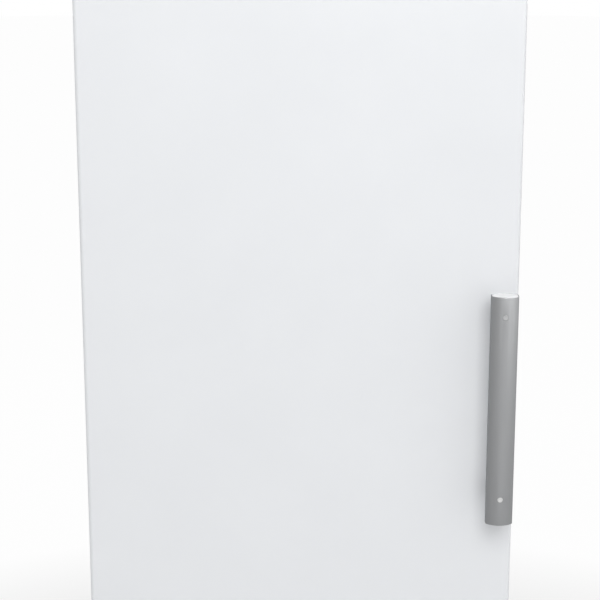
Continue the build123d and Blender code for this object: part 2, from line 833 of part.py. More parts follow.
# ================================================================== hinges
bush_radius = pin_radius + bush_wall
with BuildPart() as lower_hinge:
    leaf_span = (leaf_x - hinge_leaf_width / 2, leaf_x + hinge_leaf_width / 2)
    arm_span = (leaf_span[0], pivot_x + hinge_arm_width * 0.75)
    top = lower_plate_z + hinge_plate
    block(leaf_span, (front - hinge_plate, front), (top - lower_leaf_height, top))
    block(arm_span, (pivot_y - hinge_arm_width / 2, front), (lower_plate_z, top))
    fillet(
        lower_hinge.edges().filter_by(Axis.Z).group_by(Axis.Y)[0], hinge_arm_width / 4
    )
    drill(pivot_x, pivot_y, (top, door_bottom), bush_radius, "Z", Mode.ADD)
    drill(pivot_x, pivot_y, (top, door_bottom + pin_reach), pin_radius, "Z", Mode.ADD)
    for x, z in hinge_screw_spots:
        drill(x, (front - hinge_plate, front), z, hinge_screw_radius, "Y")
save(lower_hinge, "lower_hinge")

with BuildPart() as upper_hinge:
    top = upper_plate_z + upper_leaf_height
    block(leaf_span, (front - hinge_plate, front), (upper_plate_z, top))
    block(arm_span, (pivot_y - hinge_arm_width / 2, front), (upper_plate_z, upper_plate_z + hinge_plate))
    fillet(
        upper_hinge.edges().filter_by(Axis.Z).group_by(Axis.Y)[0], hinge_arm_width / 4
    )
    drill(pivot_x, pivot_y, (door_top - pin_reach, upper_plate_z), pin_radius, "Z", Mode.ADD)
    for x, z in hinge_screw_spots:
        drill(x, (front - hinge_plate, front), z, hinge_screw_radius, "Y")
save(upper_hinge, "upper_hinge")

with BuildPart() as hinge_screws:
    for x, z in hinge_screw_spots:
        face_y = front - hinge_plate
        with BuildSketch(Plane.XZ.offset(-face_y)) as head:
            with Locations((x, z)):
                RegularPolygon(hinge_screw_head, 6)
        extrude(head.sketch, amount=hinge_screw_head_depth)
        drill(x, (face_y, front + hinge_screw_length), z, hinge_screw_radius, "Y", Mode.ADD)
save(hinge_screws, "hinge_screws")

# ================================================================== door
cap_low = door_bottom + door_cap_plate
cap_high = door_top - door_cap_plate
with BuildPart() as door_skin:
    skin_back = door_back - liner
    with BuildSketch(Plane.XY.offset(cap_low)) as section:
        with BuildLine():
            FilletPolyline(
                (-half + door_lip, skin_back),
                (-half, skin_back),
                (-half, door_front),
                (half, door_front),
                (half, skin_back),
                (half - door_lip, skin_back),
                radius=(bend, door_edge_radius, door_edge_radius, bend),
            )
            offset(amount=skin, side=Side.LEFT)
        make_face()
    extrude(section.sketch, amount=cap_high - cap_low)
    for z in handle_screw_levels:
        drill(handle_x, (door_front, door_front + skin), z, handle_shank_radius, "Y")
save(door_skin, "door_skin")

caps = {}
for label, outside, inside in (
    ("door_cap_bottom", door_bottom, cap_low),
    ("door_cap_top", door_top, cap_high),
):
    into = 1 if inside > outside else -1
    with BuildPart() as door_cap:
        plate = door_outline(min(outside, inside), 0, skin_back)
        extrude(plate, amount=door_cap_plate)
        plug_low = min(inside, inside + into * door_cap_plug)
        extrude(door_outline(plug_low, skin, skin_back - skin), amount=door_cap_plug)
        add(door_skin.part, mode=Mode.SUBTRACT)
        block(
            (-half + skin + door_cap_wall, half - skin - door_cap_wall),
            (door_front + skin + door_cap_wall, skin_back - skin - door_cap_wall),
            (plug_low, plug_low + door_cap_plug),
            Mode.SUBTRACT,
        )
        boss = sorted((inside - into * fit_slack, inside + into * door_cap_plug))
        drill(pivot_x, pivot_y, boss, bush_radius + bush_wall, "Z", Mode.ADD)
        bore = sorted((outside - into, outside + into * (pin_reach + hinge_washer)))
        drill(pivot_x, pivot_y, bore, bush_radius, "Z")
        add(door_skin.part, mode=Mode.SUBTRACT)
    save(door_cap, label)
    caps[label] = door_cap.part

with BuildPart() as door_bushes:
    for outside, into in ((door_bottom, 1), (door_top, -1)):
        sleeve = sorted((outside, outside + into * (pin_reach + hinge_washer)))
        bore = sorted((outside - into, outside + into * (pin_reach + touch_gap)))
        drill(pivot_x, pivot_y, sleeve, bush_radius, "Z", Mode.ADD)
        drill(pivot_x, pivot_y, bore, pin_radius + pin_slack, "Z")
save(door_bushes, "door_bushes")

dart_inset = gasket_inset + (gasket_width - dart_width) / 2
plateau_x = half - plateau_margin
plateau_z = (door_bottom + plateau_margin, door_top - plateau_margin)
plateau_back = door_back + plateau_rise


def recesses(grow):
    """Shallow panels sunk in the raised middle of the inner door, grown outwards on every wall."""
    pitch = (plateau_z[1] - plateau_z[0]) / panel_count
    for index in range(panel_count):
        low = plateau_z[0] + index * pitch + panel_margin
        high = plateau_z[0] + (index + 1) * pitch - panel_margin
        reach = plateau_x - panel_margin
        panel(
            (-reach - grow, reach + grow),
            (low - grow, high + grow),
            plateau_back - panel_recess - grow,
            plateau_back + liner,
            panel_corner + grow,
            Mode.SUBTRACT,
        )


with BuildPart() as plateau_core:
    panel(
        (-plateau_x + liner, plateau_x - liner),
        (plateau_z[0] + liner, plateau_z[1] - liner),
        door_back - liner,
        plateau_back - liner,
        panel_corner - liner,
    )
    recesses(liner)

with BuildPart() as door_liner:
    liner_x = (-half + liner_edge, half - liner_edge)
    liner_z = (door_bottom + liner_edge, door_top - liner_edge)
    panel(liner_x, liner_z, skin_back, door_back, bend)
    panel((-plateau_x, plateau_x), plateau_z, skin_back, plateau_back, panel_corner)
    recesses(0)
    add(plateau_core.part, mode=Mode.SUBTRACT)
    channel_width = dart_width + 2 * (dart_slack + channel_wall)
    channel_inset = dart_inset - dart_slack - channel_wall
    channel_front = door_back - dart_depth - dart_slack - channel_wall
    door_frame(channel_inset, channel_width, channel_front, door_back)
    groove_inset, groove_width = dart_inset - dart_slack, dart_width + 2 * dart_slack
    door_frame(groove_inset, groove_width, channel_front + channel_wall, door_back, Mode.SUBTRACT)
save(door_liner, "door_liner")

with BuildPart() as door_gasket:
    foot_inset = gasket_inset + (gasket_width - gasket_foot) / 2
    neck_inset = gasket_inset + (gasket_width - gasket_neck) / 2
    head_front = front - gasket_head_depth
    door_frame(gasket_inset, gasket_width, head_front, front)
    door_frame(neck_inset, gasket_neck, door_back + gasket_foot_depth, head_front)
    door_frame(foot_inset, gasket_foot, door_back, door_back + gasket_foot_depth)
    door_frame(dart_inset, dart_width, door_back - dart_depth, door_back)
save(door_gasket, "door_gasket")

with BuildPart() as door_foam:
    extrude(door_outline(cap_low, skin, skin_back - skin), amount=cap_high - cap_low)
    block((-half + door_lip, half - door_lip), (door_back - door_depth / 2, skin_back), (cap_low, cap_high))
    add(plateau_core.part)
    for piece in (door_skin.part, door_liner.part, *caps.values()):
        add(piece, mode=Mode.SUBTRACT)
    groove_inset, groove_width = dart_inset - dart_slack, dart_width + 2 * dart_slack
    door_frame(groove_inset, groove_width, channel_front, door_back, Mode.SUBTRACT)
    for outside, into in ((door_bottom, 1), (door_top, -1)):
        sleeve = sorted((outside, outside + into * (pin_reach + hinge_washer)))
        drill(pivot_x, pivot_y, sleeve, bush_radius, "Z")
    for z in handle_screw_levels:
        drill(handle_x, (door_front, door_front + screw_reach), z, handle_shank_radius, "Y")
save(door_foam, "door_foam")

# ================================================================== handle
bar_left, bar_right = handle_x - handle_width / 2, handle_x + handle_width / 2
bar_low = handle_middle_z - handle_length / 2
seat_depth = cap_depth + handle_head_depth
crown = handle_front + bar_front_rise
with BuildPart() as handle_bar:
    with BuildSketch(Plane.XY.offset(bar_low)) as section:
        with BuildLine():
            ThreePointArc((bar_left, crown), (handle_x, handle_front), (bar_right, crown))
            Line((bar_right, crown), (bar_right, handle_back - bar_back_rise))
            ThreePointArc(
                (bar_right, handle_back - bar_back_rise),
                (handle_x, handle_back),
                (bar_left, handle_back - bar_back_rise),
            )
            Line((bar_left, handle_back - bar_back_rise), (bar_left, crown))
        make_face()
        fillet(section.vertices(), bar_edge_radius)
    extrude(section.sketch, amount=handle_length)
    chamfer(handle_bar.faces().filter_by(Axis.Z).edges(), bar_end_edge)
    seat = handle_front + seat_depth
    for z in handle_screw_levels:
        drill(handle_x, (handle_front - liner, seat), z, cap_radius + fit_slack, "Y")
        drill(handle_x, (handle_front, handle_back + liner), z, handle_shank_radius + fit_slack, "Y")
save(handle_bar, "handle_bar")

with BuildPart() as handle_posts:
    for z in handle_screw_levels:
        post_x = (handle_x - post_width / 2, handle_x + post_width / 2)
        post_z = (z - post_height / 2, z + post_height / 2)
        panel(post_x, post_z, handle_back - bar_back_rise, door_front, post_width * 0.45)
        drill(handle_x, (handle_back - bar_depth, door_front), z, handle_shank_radius + fit_slack, "Y")
    add(handle_bar.part, mode=Mode.SUBTRACT)
save(handle_posts, "handle_posts")

with BuildPart() as handle_screws:
    for z in handle_screw_levels:
        drill(handle_x, (seat - handle_head_depth, seat), z, handle_head_radius, "Y", Mode.ADD)
        drill(handle_x, (seat, door_front + screw_reach), z, handle_shank_radius, "Y", Mode.ADD)
save(handle_screws, "handle_screws")

for z, label in zip(handle_screw_levels, ("screw_cap_lower", "screw_cap_upper")):
    with BuildPart() as screw_cap:
        cap_back = seat - handle_head_depth
        drill(handle_x, (cap_back - cap_depth, cap_back), z, cap_radius, "Y", Mode.ADD)
        chamfer(screw_cap.faces().sort_by(Axis.Y)[0].edges(), cap_edge)
    save(screw_cap, label)

# ================================================================== compressor and its rail
roller_x = half - roller_inset_x
roller_y = back - roller_inset_y
rail_under = base_height + rail_lift
rail_top = rail_under + rail_sheet
grommet_spots = [
    (compressor_x + sx * grommet_spread_x / 2, compressor_y + sy * grommet_spread_y / 2)
    for sx in (-1, 1)
    for sy in (-1, 1)
]
with BuildPart() as compressor_rail:
    rail_half = half - skin
    rail_y = (recess_front + rail_margin, back - rail_margin)
    block((-rail_half, rail_half), rail_y, (rail_under, rail_top))
    for sign in (-1, 1):
        end = sorted((sign * rail_half, sign * (rail_half - rail_sheet)))
        block(end, rail_y, (rail_under, rail_top + rail_ear_height))
        middle = sign * roller_x
        clear = roller_width / 2 + ear_gap
        block(
            (middle - clear, middle + clear),
            (roller_y - roller_radius - ear_sheet, roller_y + roller_radius + ear_sheet),
            (rail_under, rail_top),
            Mode.SUBTRACT,
        )
        for side in (-1, 1):
            ear = sorted((middle + side * clear, middle + side * (clear + ear_sheet)))
            ear_y = (roller_y - 3 * axle_radius, roller_y + 3 * axle_radius)
            block(ear, ear_y, (roller_radius - 2 * axle_radius, rail_top))
        axle = (middle - clear - ear_sheet / 2, middle + clear + ear_sheet / 2)
        drill(axle, roller_y, roller_radius, axle_radius, "X", Mode.ADD)
    for x, y in grommet_spots:
        drill(x, y, (rail_under, rail_top), bolt_radius, "Z")
save(compressor_rail, "compressor_rail")

for sign, label in ((-1, "roller_left"), (1, "roller_right")):
    with BuildPart() as roller:
        middle = sign * roller_x
        span = (middle - roller_width / 2, middle + roller_width / 2)
        drill(span, roller_y, roller_radius, roller_radius, "X", Mode.ADD)
        chamfer(roller.edges().filter_by(GeomType.CIRCLE), ear_gap)
        drill(span, roller_y, roller_radius, axle_radius + axle_slack, "X")
    save(roller, label)

with BuildPart() as compressor:
    with BuildSketch(Plane.XY.offset(shell_z)) as shell:
        with Locations((compressor_x, compressor_y)):
            RectangleRounded(compressor_length, compressor_width, compressor_corner)
    extrude(shell.sketch, amount=compressor_body)
    for step in range(dome_steps):
        low, high = radians(90 * step / dome_steps), radians(90 * (step + 1) / dome_steps)
        inset = compressor_dome * (cos(low) - cos(high))
        drop = compressor_dome * (sin(high) - sin(low))
        top_face = compressor.faces().sort_by(Axis.Z)[-1]
        chamfer(top_face.edges(), inset, drop, reference=top_face)
    chamfer(compressor.faces().sort_by(Axis.Z)[0].edges(), compressor_dome / 2)
    seam_z = shell_z + compressor_body * 0.52
    with BuildSketch(Plane.XY.offset(seam_z)) as seam:
        with Locations((compressor_x, compressor_y)):
            RectangleRounded(
                compressor_length + 2 * seam_proud,
                compressor_width + 2 * seam_proud,
                compressor_corner + seam_proud,
            )
    extrude(seam.sketch, amount=seam_height)
    foot_x_half = grommet_spread_x / 2 + grommet_radius + compressor_plate
    foot_y_half = grommet_spread_y / 2 + grommet_radius + compressor_plate
    with BuildSketch(Plane.XY.offset(plate_z)) as plate:
        with Locations((compressor_x, compressor_y)):
            RectangleRounded(2 * foot_x_half, 2 * foot_y_half, grommet_radius)
    extrude(plate.sketch, amount=compressor_plate + touch_gap)
    for x, y in grommet_spots:
        drill(x, y, (plate_z, plate_z + 2 * compressor_plate), grommet_neck, "Z")
save(compressor, "compressor")

with BuildPart() as compressor_grommets:
    upper_z = plate_z + compressor_plate + touch_gap
    for x, y in grommet_spots:
        drill(x, y, (rail_top, plate_z), grommet_radius, "Z", Mode.ADD)
        drill(x, y, (plate_z, upper_z), grommet_neck, "Z", Mode.ADD)
        drill(x, y, (upper_z, upper_z + compressor_plate), grommet_radius * 0.9, "Z", Mode.ADD)
        drill(x, y, (rail_top, upper_z + compressor_plate), bolt_radius, "Z")
save(compressor_grommets, "compressor_grommets")

with BuildPart() as compressor_bolts:
    head_z = upper_z + compressor_plate
    for x, y in grommet_spots:
        drill(x, y, (rail_under - rail_sheet, head_z), bolt_radius, "Z", Mode.ADD)
        with BuildSketch(Plane.XY.offset(head_z)) as head:
            with Locations((x, y)):
                RegularPolygon(2 * bolt_radius, 6)
        extrude(head.sketch, amount=bolt_radius)
save(compressor_bolts, "compressor_bolts")

with BuildPart() as relay_box:
    relay_y = compressor_y + compressor_width / 2
    relay_x = compressor_x + compressor_length * 0.05
    panel(
        (relay_x - relay_width / 2, relay_x + relay_width / 2),
        (seam_z - relay_height - touch_gap, seam_z - touch_gap),
        relay_y,
        relay_y + relay_depth,
        grommet_radius / 3,
    )
    chamfer(relay_box.faces().sort_by(Axis.Y)[-1].edges(), bend)
save(relay_box, "relay_box")

with BuildPart() as evaporation_tray:
    tray_x, tray_y = compressor_x - compressor_dome / 2, compressor_y
    for grow, low, mode in ((0, 0, Mode.ADD), (tray_wall, tray_wall, Mode.SUBTRACT)):
        with BuildSketch(Plane.XY.offset(shell_top + low)) as outline:
            with Locations((tray_x, tray_y)):
                RectangleRounded(tray_length - 2 * grow, tray_width - 2 * grow, grommet_radius - grow)
        extrude(outline.sketch, amount=tray_height, mode=mode)
save(evaporation_tray, "evaporation_tray")

# ================================================================== condenser and its lines
condenser_top = condenser_bottom + (condenser_passes - 1) * condenser_pitch
entry_x = condenser_half_width
drier_x, drier_y = -condenser_half_width, back - drier_setback
with BuildPart() as condenser_tube:
    route = []
    for index in range(condenser_passes):
        z = condenser_top - index * condenser_pitch
        ends = (entry_x, -entry_x) if index % 2 == 0 else (-entry_x, entry_x)
        route += [(ends[0], condenser_y, z), (ends[1], condenser_y, z)]
    drop_z = recess_top - condenser_bend
    route += [(drier_x, condenser_y, drop_z), (drier_x, drier_y, drop_z)]
    route += [(drier_x, drier_y, drier_top)]
    start = Plane(origin=route[0], x_dir=(0, 1, 0), z_dir=(-1, 0, 0))
    hex_rod(route, condenser_bend, tube_radius, start, 30)
save(condenser_tube, "condenser_tube")

wire_half = condenser_half_width - condenser_bend - tube_radius
wire_low = condenser_bottom - 4 * tube_radius
wire_high = condenser_top + 4 * tube_radius
with BuildPart() as condenser_wires:
    with BuildSketch(Plane.XY.offset(wire_low)) as wires:
        spots = [
            (-wire_half + index * 2 * wire_half / (condenser_wires_per_side - 1), y)
            for index in range(condenser_wires_per_side)
            for y in (
                condenser_y - tube_radius - wire_radius,
                condenser_y + tube_radius + wire_radius,
            )
        ]
        with Locations(*spots):
            RegularPolygon(wire_radius, 6, major_radius=False)
    extrude(wires.sketch, amount=wire_high - wire_low)
save(condenser_wires, "condenser_wires")

with BuildPart() as condenser_brackets:
    outer_y = back + condenser_reach
    for sign in (-1, 1):
        arm_near = sign * (wire_half + 2 * wire_radius)
        for z in (condenser_bottom + condenser_pitch * 1.5, condenser_top - condenser_pitch * 1.5):
            height = (z - bracket_height / 2, z + bracket_height / 2)
            arm = sorted((arm_near, arm_near + sign * bracket_sheet))
            foot_plate = sorted((arm_near, arm_near + sign * bracket_foot))
            finger = sorted((arm_near + sign * bracket_sheet, arm_near - sign * bracket_finger))
            block(arm, (back - skin, outer_y), height)
            block(foot_plate, (back - skin, back - skin + bracket_sheet), height)
            block(finger, (outer_y - bracket_sheet, outer_y), height)
save(condenser_brackets, "condenser_brackets")

with BuildPart() as filter_drier:
    drier_low = drier_top - drier_length
    neck = drier_radius
    drill(drier_x, drier_y, (drier_low + neck, drier_top - neck), drier_radius, "Z", Mode.ADD)
    chamfer(filter_drier.edges().filter_by(GeomType.CIRCLE), drier_radius * 0.5)
    drill(drier_x, drier_y, (drier_low, drier_top), drier_radius * 0.45, "Z", Mode.ADD)
save(filter_drier, "filter_drier")

compressor_end = compressor_length / 2
with BuildPart() as discharge_line:
    route = [
        (compressor_x + compressor_end, compressor_y, line_z),
        (discharge_x, compressor_y, line_z),
        (discharge_x, condenser_y, line_z),
        (discharge_x, condenser_y, condenser_top),
        (entry_x, condenser_y, condenser_top),
    ]
    start = Plane(origin=route[0], x_dir=(0, 1, 0), z_dir=(1, 0, 0))
    hex_rod(route, condenser_bend, tube_radius, start, 30)
save(discharge_line, "discharge_line")

line_top = coil_bottom + coil_height / coil_rows / 2 - coil_tube_radius
with BuildPart() as suction_line:
    route = [
        (suction_x, suction_y, line_top),
        (suction_x, suction_y, line_z),
        (compressor_x - compressor_end, suction_y, line_z),
    ]
    hex_rod(route, condenser_bend, suction_tube, Plane(origin=route[0], z_dir=(0, 0, -1)), 0)
save(suction_line, "suction_line")

capillary_x = suction_x - suction_tube - 2 * capillary_radius
with BuildPart() as capillary_tube:
    low_z = drier_low - capillary_drop
    route = [
        (drier_x, drier_y, drier_low),
        (drier_x, drier_y, low_z),
        (capillary_x, drier_y, low_z),
        (capillary_x, suction_y, low_z),
        (capillary_x, suction_y, line_top),
    ]
    hex_rod(route, condenser_bend / 2, capillary_radius, Plane(origin=route[0], z_dir=(0, 0, -1)), 0)
save(capillary_tube, "capillary_tube")

with BuildPart() as mains_inlet:
    inlet_back = back - rail_margin
    inlet_z = (rail_top, rail_top + inlet_height)
    inlet_span = (inlet_x - inlet_width / 2, inlet_x + inlet_width / 2)
    inlet_middle = (rail_top * 2 + inlet_height) / 2
    panel(inlet_span, inlet_z, inlet_back - inlet_depth, inlet_back, bend)
    panel(
        (inlet_x - socket_half_width, inlet_x + socket_half_width),
        (inlet_middle - socket_half_height, inlet_middle + socket_half_height),
        inlet_back - inlet_depth * 0.7,
        inlet_back + bend,
        bend,
        Mode.SUBTRACT,
    )
    for step, rise in ((-1, -contact_rise), (0, contact_rise), (1, -contact_rise)):
        x = inlet_x + step * contact_pitch
        z = inlet_middle + rise
        block(
            (x - contact_sheet / 2, x + contact_sheet / 2),
            (inlet_back - inlet_depth * 0.75, inlet_back - bend),
            (z - contact_sheet, z + contact_sheet),
        )
save(mains_inlet, "mains_inlet")
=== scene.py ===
import math

import bmesh
import bpy
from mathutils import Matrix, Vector


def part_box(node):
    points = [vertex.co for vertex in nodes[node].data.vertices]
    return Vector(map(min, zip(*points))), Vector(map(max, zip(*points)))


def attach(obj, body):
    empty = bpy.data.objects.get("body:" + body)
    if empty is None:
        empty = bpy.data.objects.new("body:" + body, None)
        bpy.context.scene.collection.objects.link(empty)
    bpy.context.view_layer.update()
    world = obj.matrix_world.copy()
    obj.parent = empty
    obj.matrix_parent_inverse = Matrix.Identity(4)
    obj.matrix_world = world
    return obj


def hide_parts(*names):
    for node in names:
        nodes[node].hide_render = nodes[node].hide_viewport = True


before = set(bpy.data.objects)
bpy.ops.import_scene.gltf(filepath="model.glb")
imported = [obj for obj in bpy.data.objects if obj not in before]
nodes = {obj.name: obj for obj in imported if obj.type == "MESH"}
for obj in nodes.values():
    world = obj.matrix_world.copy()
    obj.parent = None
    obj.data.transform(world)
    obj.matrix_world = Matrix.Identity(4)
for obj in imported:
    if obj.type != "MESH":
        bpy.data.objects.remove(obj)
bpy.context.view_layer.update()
mm = 0.001
print("frame loaded")


# Node trees: short ways to place a node, a sum and a mix
def addNode(tree, kind, inputs=None, **settings):
    node = tree.nodes.new(kind)
    for key, value in settings.items():
        setattr(node, key, value)
    for key, value in (inputs or {}).items():
        feed(tree, node.inputs[key], value)
    return node


def feed(tree, socket, value):
    if isinstance(value, bpy.types.NodeSocket):
        tree.links.new(value, socket)
    else:
        socket.default_value = value


def calc(tree, operation, *values):
    node = addNode(tree, "ShaderNodeMath", operation=operation)
    for place, value in enumerate(values):
        feed(tree, node.inputs[place], value)
    return node.outputs[0]


def remap(tree, value, low, high, newLow=0.0, newHigh=1.0):
    sizes = {"Value": value, "From Min": low, "From Max": high, "To Min": newLow, "To Max": newHigh}
    return addNode(tree, "ShaderNodeMapRange", sizes).outputs[0]


def blendColour(tree, share, first, second):
    node = addNode(tree, "ShaderNodeMix", data_type="RGBA")
    feed(tree, node.inputs[0], share)
    feed(tree, node.inputs[6], first)
    feed(tree, node.inputs[7], second)
    return node.outputs[2]


def noise(tree, where, scale, detail=3.0, roughness=0.5):
    sizes = {"Vector": where, "Scale": scale, "Detail": detail, "Roughness": roughness}
    return addNode(tree, "ShaderNodeTexNoise", sizes).outputs[0]


def newTree(name, kind, inputs, outputs):
    # tree with named inputs (label, kind, value) and outputs (label, kind), and its two end nodes
    tree = bpy.data.node_groups.new(name, kind + "NodeTree")
    for label, socketKind, value in inputs:
        socket = tree.interface.new_socket(label, in_out="INPUT", socket_type="NodeSocket" + socketKind)
        if value is not None:
            socket.default_value = value
    for label, socketKind in outputs:
        tree.interface.new_socket(label, in_out="OUTPUT", socket_type="NodeSocket" + socketKind)
    return tree, tree.nodes.new("NodeGroupInput").outputs, tree.nodes.new("NodeGroupOutput").inputs


# Shader groups: each turns a place on the piece into a height or a mask
def newGroup(name, outputs, *inputs):
    inputs = [("Vector", "Vector", None), *inputs]
    return newTree(name, "Shader", inputs, [(label, "Float") for label in outputs])


def paintPeel():  # sprayed or rolled paint: fine peel over slow waves, and a blotch mask
    group, given, out = newGroup(
        "paintPeel", ("Height", "Blotch"), ("Scale", "Float", 400.0), ("Waves", "Float", 0.3))
    fine = noise(group, given["Vector"], given["Scale"], 2.0, 0.45)
    slow = noise(group, given["Vector"], calc(group, "MULTIPLY", given["Scale"], 0.045), 1.0, 0.4)
    waves = calc(group, "MULTIPLY", slow, given["Waves"])
    feed(group, out["Height"], calc(group, "ADD", calc(group, "MULTIPLY", fine, 0.25), waves))
    blotch = noise(group, given["Vector"], calc(group, "MULTIPLY", given["Scale"], 0.012), 4.0, 0.6)
    feed(group, out["Blotch"], remap(group, blotch, 0.3, 0.7))
    return group


def mouldGrain():  # leather-like grain of a moulded plastic, with its flow marks
    group, given, out = newGroup(
        "mouldGrain", ("Height", "Blotch"), ("Scale", "Float", 900.0), ("Flow", "Float", 0.25))
    cells = addNode(
        group, "ShaderNodeTexVoronoi", {"Vector": given["Vector"], "Scale": given["Scale"]},
        feature="SMOOTH_F1",
    ).outputs["Distance"]
    stretched = addNode(
        group, "ShaderNodeMapping", {"Vector": given["Vector"], "Scale": (1.0, 1.0, 0.18)}
    ).outputs[0]
    flow = noise(group, stretched, calc(group, "MULTIPLY", given["Scale"], 0.02), 3.0, 0.55)
    feed(group, out["Height"], calc(group, "ADD", cells, calc(group, "MULTIPLY", flow, given["Flow"])))
    feed(group, out["Blotch"], remap(group, flow, 0.35, 0.68))
    return group


def brushGrain():  # drawn or brushed metal: long fine lines along one axis
    group, given, out = newGroup(
        "brushGrain", ("Height", "Streak"), ("Scale", "Float", 900.0), ("Stretch", "Vector", (1.0, 1.0, 0.02)))
    lines = addNode(group, "ShaderNodeVectorMath", {0: given["Vector"], 1: given["Stretch"]}, operation="MULTIPLY")
    fine = noise(group, lines.outputs[0], given["Scale"], 3.0, 0.6)
    broad = noise(group, lines.outputs[0], calc(group, "MULTIPLY", given["Scale"], 0.12), 2.0, 0.5)
    feed(group, out["Height"], fine)
    feed(group, out["Streak"], remap(group, calc(group, "ADD", fine, broad), 0.75, 1.25))
    return group


def edgeWear():  # rubbed edges: where a rounded normal leaves the face's own normal
    group, given, out = newGroup("edgeWear", ("Mask",), ("Radius", "Float", 1.0 * mm), ("Amount", "Float", 0.5))
    soft = addNode(group, "ShaderNodeBevel", {"Radius": given["Radius"]}, samples=4).outputs[0]
    own = addNode(group, "ShaderNodeNewGeometry").outputs["Normal"]
    likeness = addNode(group, "ShaderNodeVectorMath", {0: soft, 1: own}, operation="DOT_PRODUCT").outputs["Value"]
    edge = remap(group, likeness, 0.995, 0.82)
    patches = remap(group, noise(group, given["Vector"], 260.0, 4.0, 0.65), 0.42, 0.62)
    feed(group, out["Mask"], calc(group, "MULTIPLY", calc(group, "MULTIPLY", edge, patches), given["Amount"]))
    return group


def dustFall():  # thin dust on what faces up, gathered in loose patches
    group, given, out = newGroup("dustFall", ("Mask",), ("Amount", "Float", 0.2), ("Scale", "Float", 60.0))
    facing = addNode(group, "ShaderNodeSeparateXYZ", {0: addNode(group, "ShaderNodeTexCoord").outputs["Normal"]})
    upward = remap(group, facing.outputs[2], 0.35, 0.95)
    patches = remap(group, noise(group, given["Vector"], given["Scale"], 5.0, 0.7), 0.35, 0.72)
    feed(group, out["Mask"], calc(group, "MULTIPLY", calc(group, "MULTIPLY", upward, patches), given["Amount"]))
    return group


groups = {make.__name__: make() for make in (paintPeel, mouldGrain, brushGrain, edgeWear, dustFall)}
# what a material gets where its piece's own values don't name it
usualLook = {
    "pattern": "mouldGrain", "scale": 900.0, "stretch": (1.0, 1.0, 0.02), "waves": 0.3, "sockets": {},
    "roughness": 0.5, "spread": 0.06, "strength": 0.25, "depth": 0.05 * mm,
    "wear": 0.0, "wearRadius": 0.8 * mm, "wearColour": (0.62, 0.62, 0.6), "wearRoughness": 0.12,
    "dust": 0.0, "dustColour": (0.47, 0.44, 0.40), "dustRoughness": 0.4,
}


def newMaterial(name, sockets):  # material, tree, Principled shader with its plain values, and object coordinates
    material = bpy.data.materials.new(name)
    material.use_nodes = True
    tree = material.node_tree
    shader = tree.nodes["Principled BSDF"]
    for socket, value in sockets.items():
        shader.inputs[socket].default_value = value
    return material, tree, shader, addNode(tree, "ShaderNodeTexCoord").outputs["Object"]


def mixSurface(tree, share, first, second):
    mixed = addNode(tree, "ShaderNodeMixShader", {0: share, 1: first.outputs[0], 2: second.outputs[0]})
    feed(tree, tree.nodes["Material Output"].inputs["Surface"], mixed.outputs[0])


def finishFor(name, look):  # one material from a piece's own values
    look = {**usualLook, "shade": look["colour"], **look}
    material, tree, shader, where = newMaterial(name, look["sockets"])
    kind = look["pattern"]
    sizes = {"Vector": where, "Scale": look["scale"]}
    if kind == "brushGrain":
        sizes["Stretch"] = look["stretch"]
    if kind == "paintPeel":
        sizes["Waves"] = look["waves"]
    pattern = addNode(tree, "ShaderNodeGroup", sizes, node_tree=groups[kind])
    mask, rough, half = pattern.outputs[1], look["roughness"], look["spread"] / 2
    colour = blendColour(tree, mask, (*look["colour"], 1.0), (*look["shade"], 1.0))
    roughness = remap(tree, mask, 0.0, 1.0, rough - half, rough + half)
    for key, group, values in (("wear", "edgeWear", {"Radius": look["wearRadius"]}), ("dust", "dustFall", {})):
        if look[key]:
            values = {"Vector": where, "Amount": look[key], **values}
            layer = addNode(tree, "ShaderNodeGroup", values, node_tree=groups[group]).outputs[0]
            colour = blendColour(tree, layer, colour, (*look[key + "Colour"], 1.0))
            roughness = calc(tree, "ADD", roughness, calc(tree, "MULTIPLY", layer, look[key + "Roughness"]))
    feed(tree, shader.inputs["Base Color"], colour)
    feed(tree, shader.inputs["Roughness"], roughness)
    relief = {"Height": pattern.outputs["Height"], "Strength": look["strength"], "Distance": look["depth"]}
    feed(tree, shader.inputs["Normal"], addNode(tree, "ShaderNodeBump", relief).outputs[0])
    return material


def finishes(looks, names):  # several materials at once, each from the values under its key
    return [finishFor(name, looks[key]) for name, key in names.items()]


# Meshes
def camel(node):  # the piece's name from the node that it stands for
    first, *rest = node.split("_")
    return first + "".join(word.capitalize() for word in rest)


def objectFrom(name, bm):
    mesh = bpy.data.meshes.new(name)
    bm.to_mesh(mesh)
    bm.free()
    return bpy.data.objects.new(name, mesh)


def toObject(name, bm, material, sharp=35.0):
    bmesh.ops.recalc_face_normals(bm, faces=bm.faces)
    return dress(objectFrom(name, bm), material, sharp)


def dress(obj, material, sharp=35.0):
    if obj.name not in bpy.context.scene.objects:
        bpy.context.scene.collection.objects.link(obj)
    obj.data.materials.clear()
    obj.data.materials.append(material)
    obj.data.shade_smooth()
    obj.data.set_sharp_from_angle(angle=math.radians(sharp))
    return obj


def place(obj, body, slot, *replaced):
    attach(obj, body)
    if replaced:
        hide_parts(*replaced)
    return obj


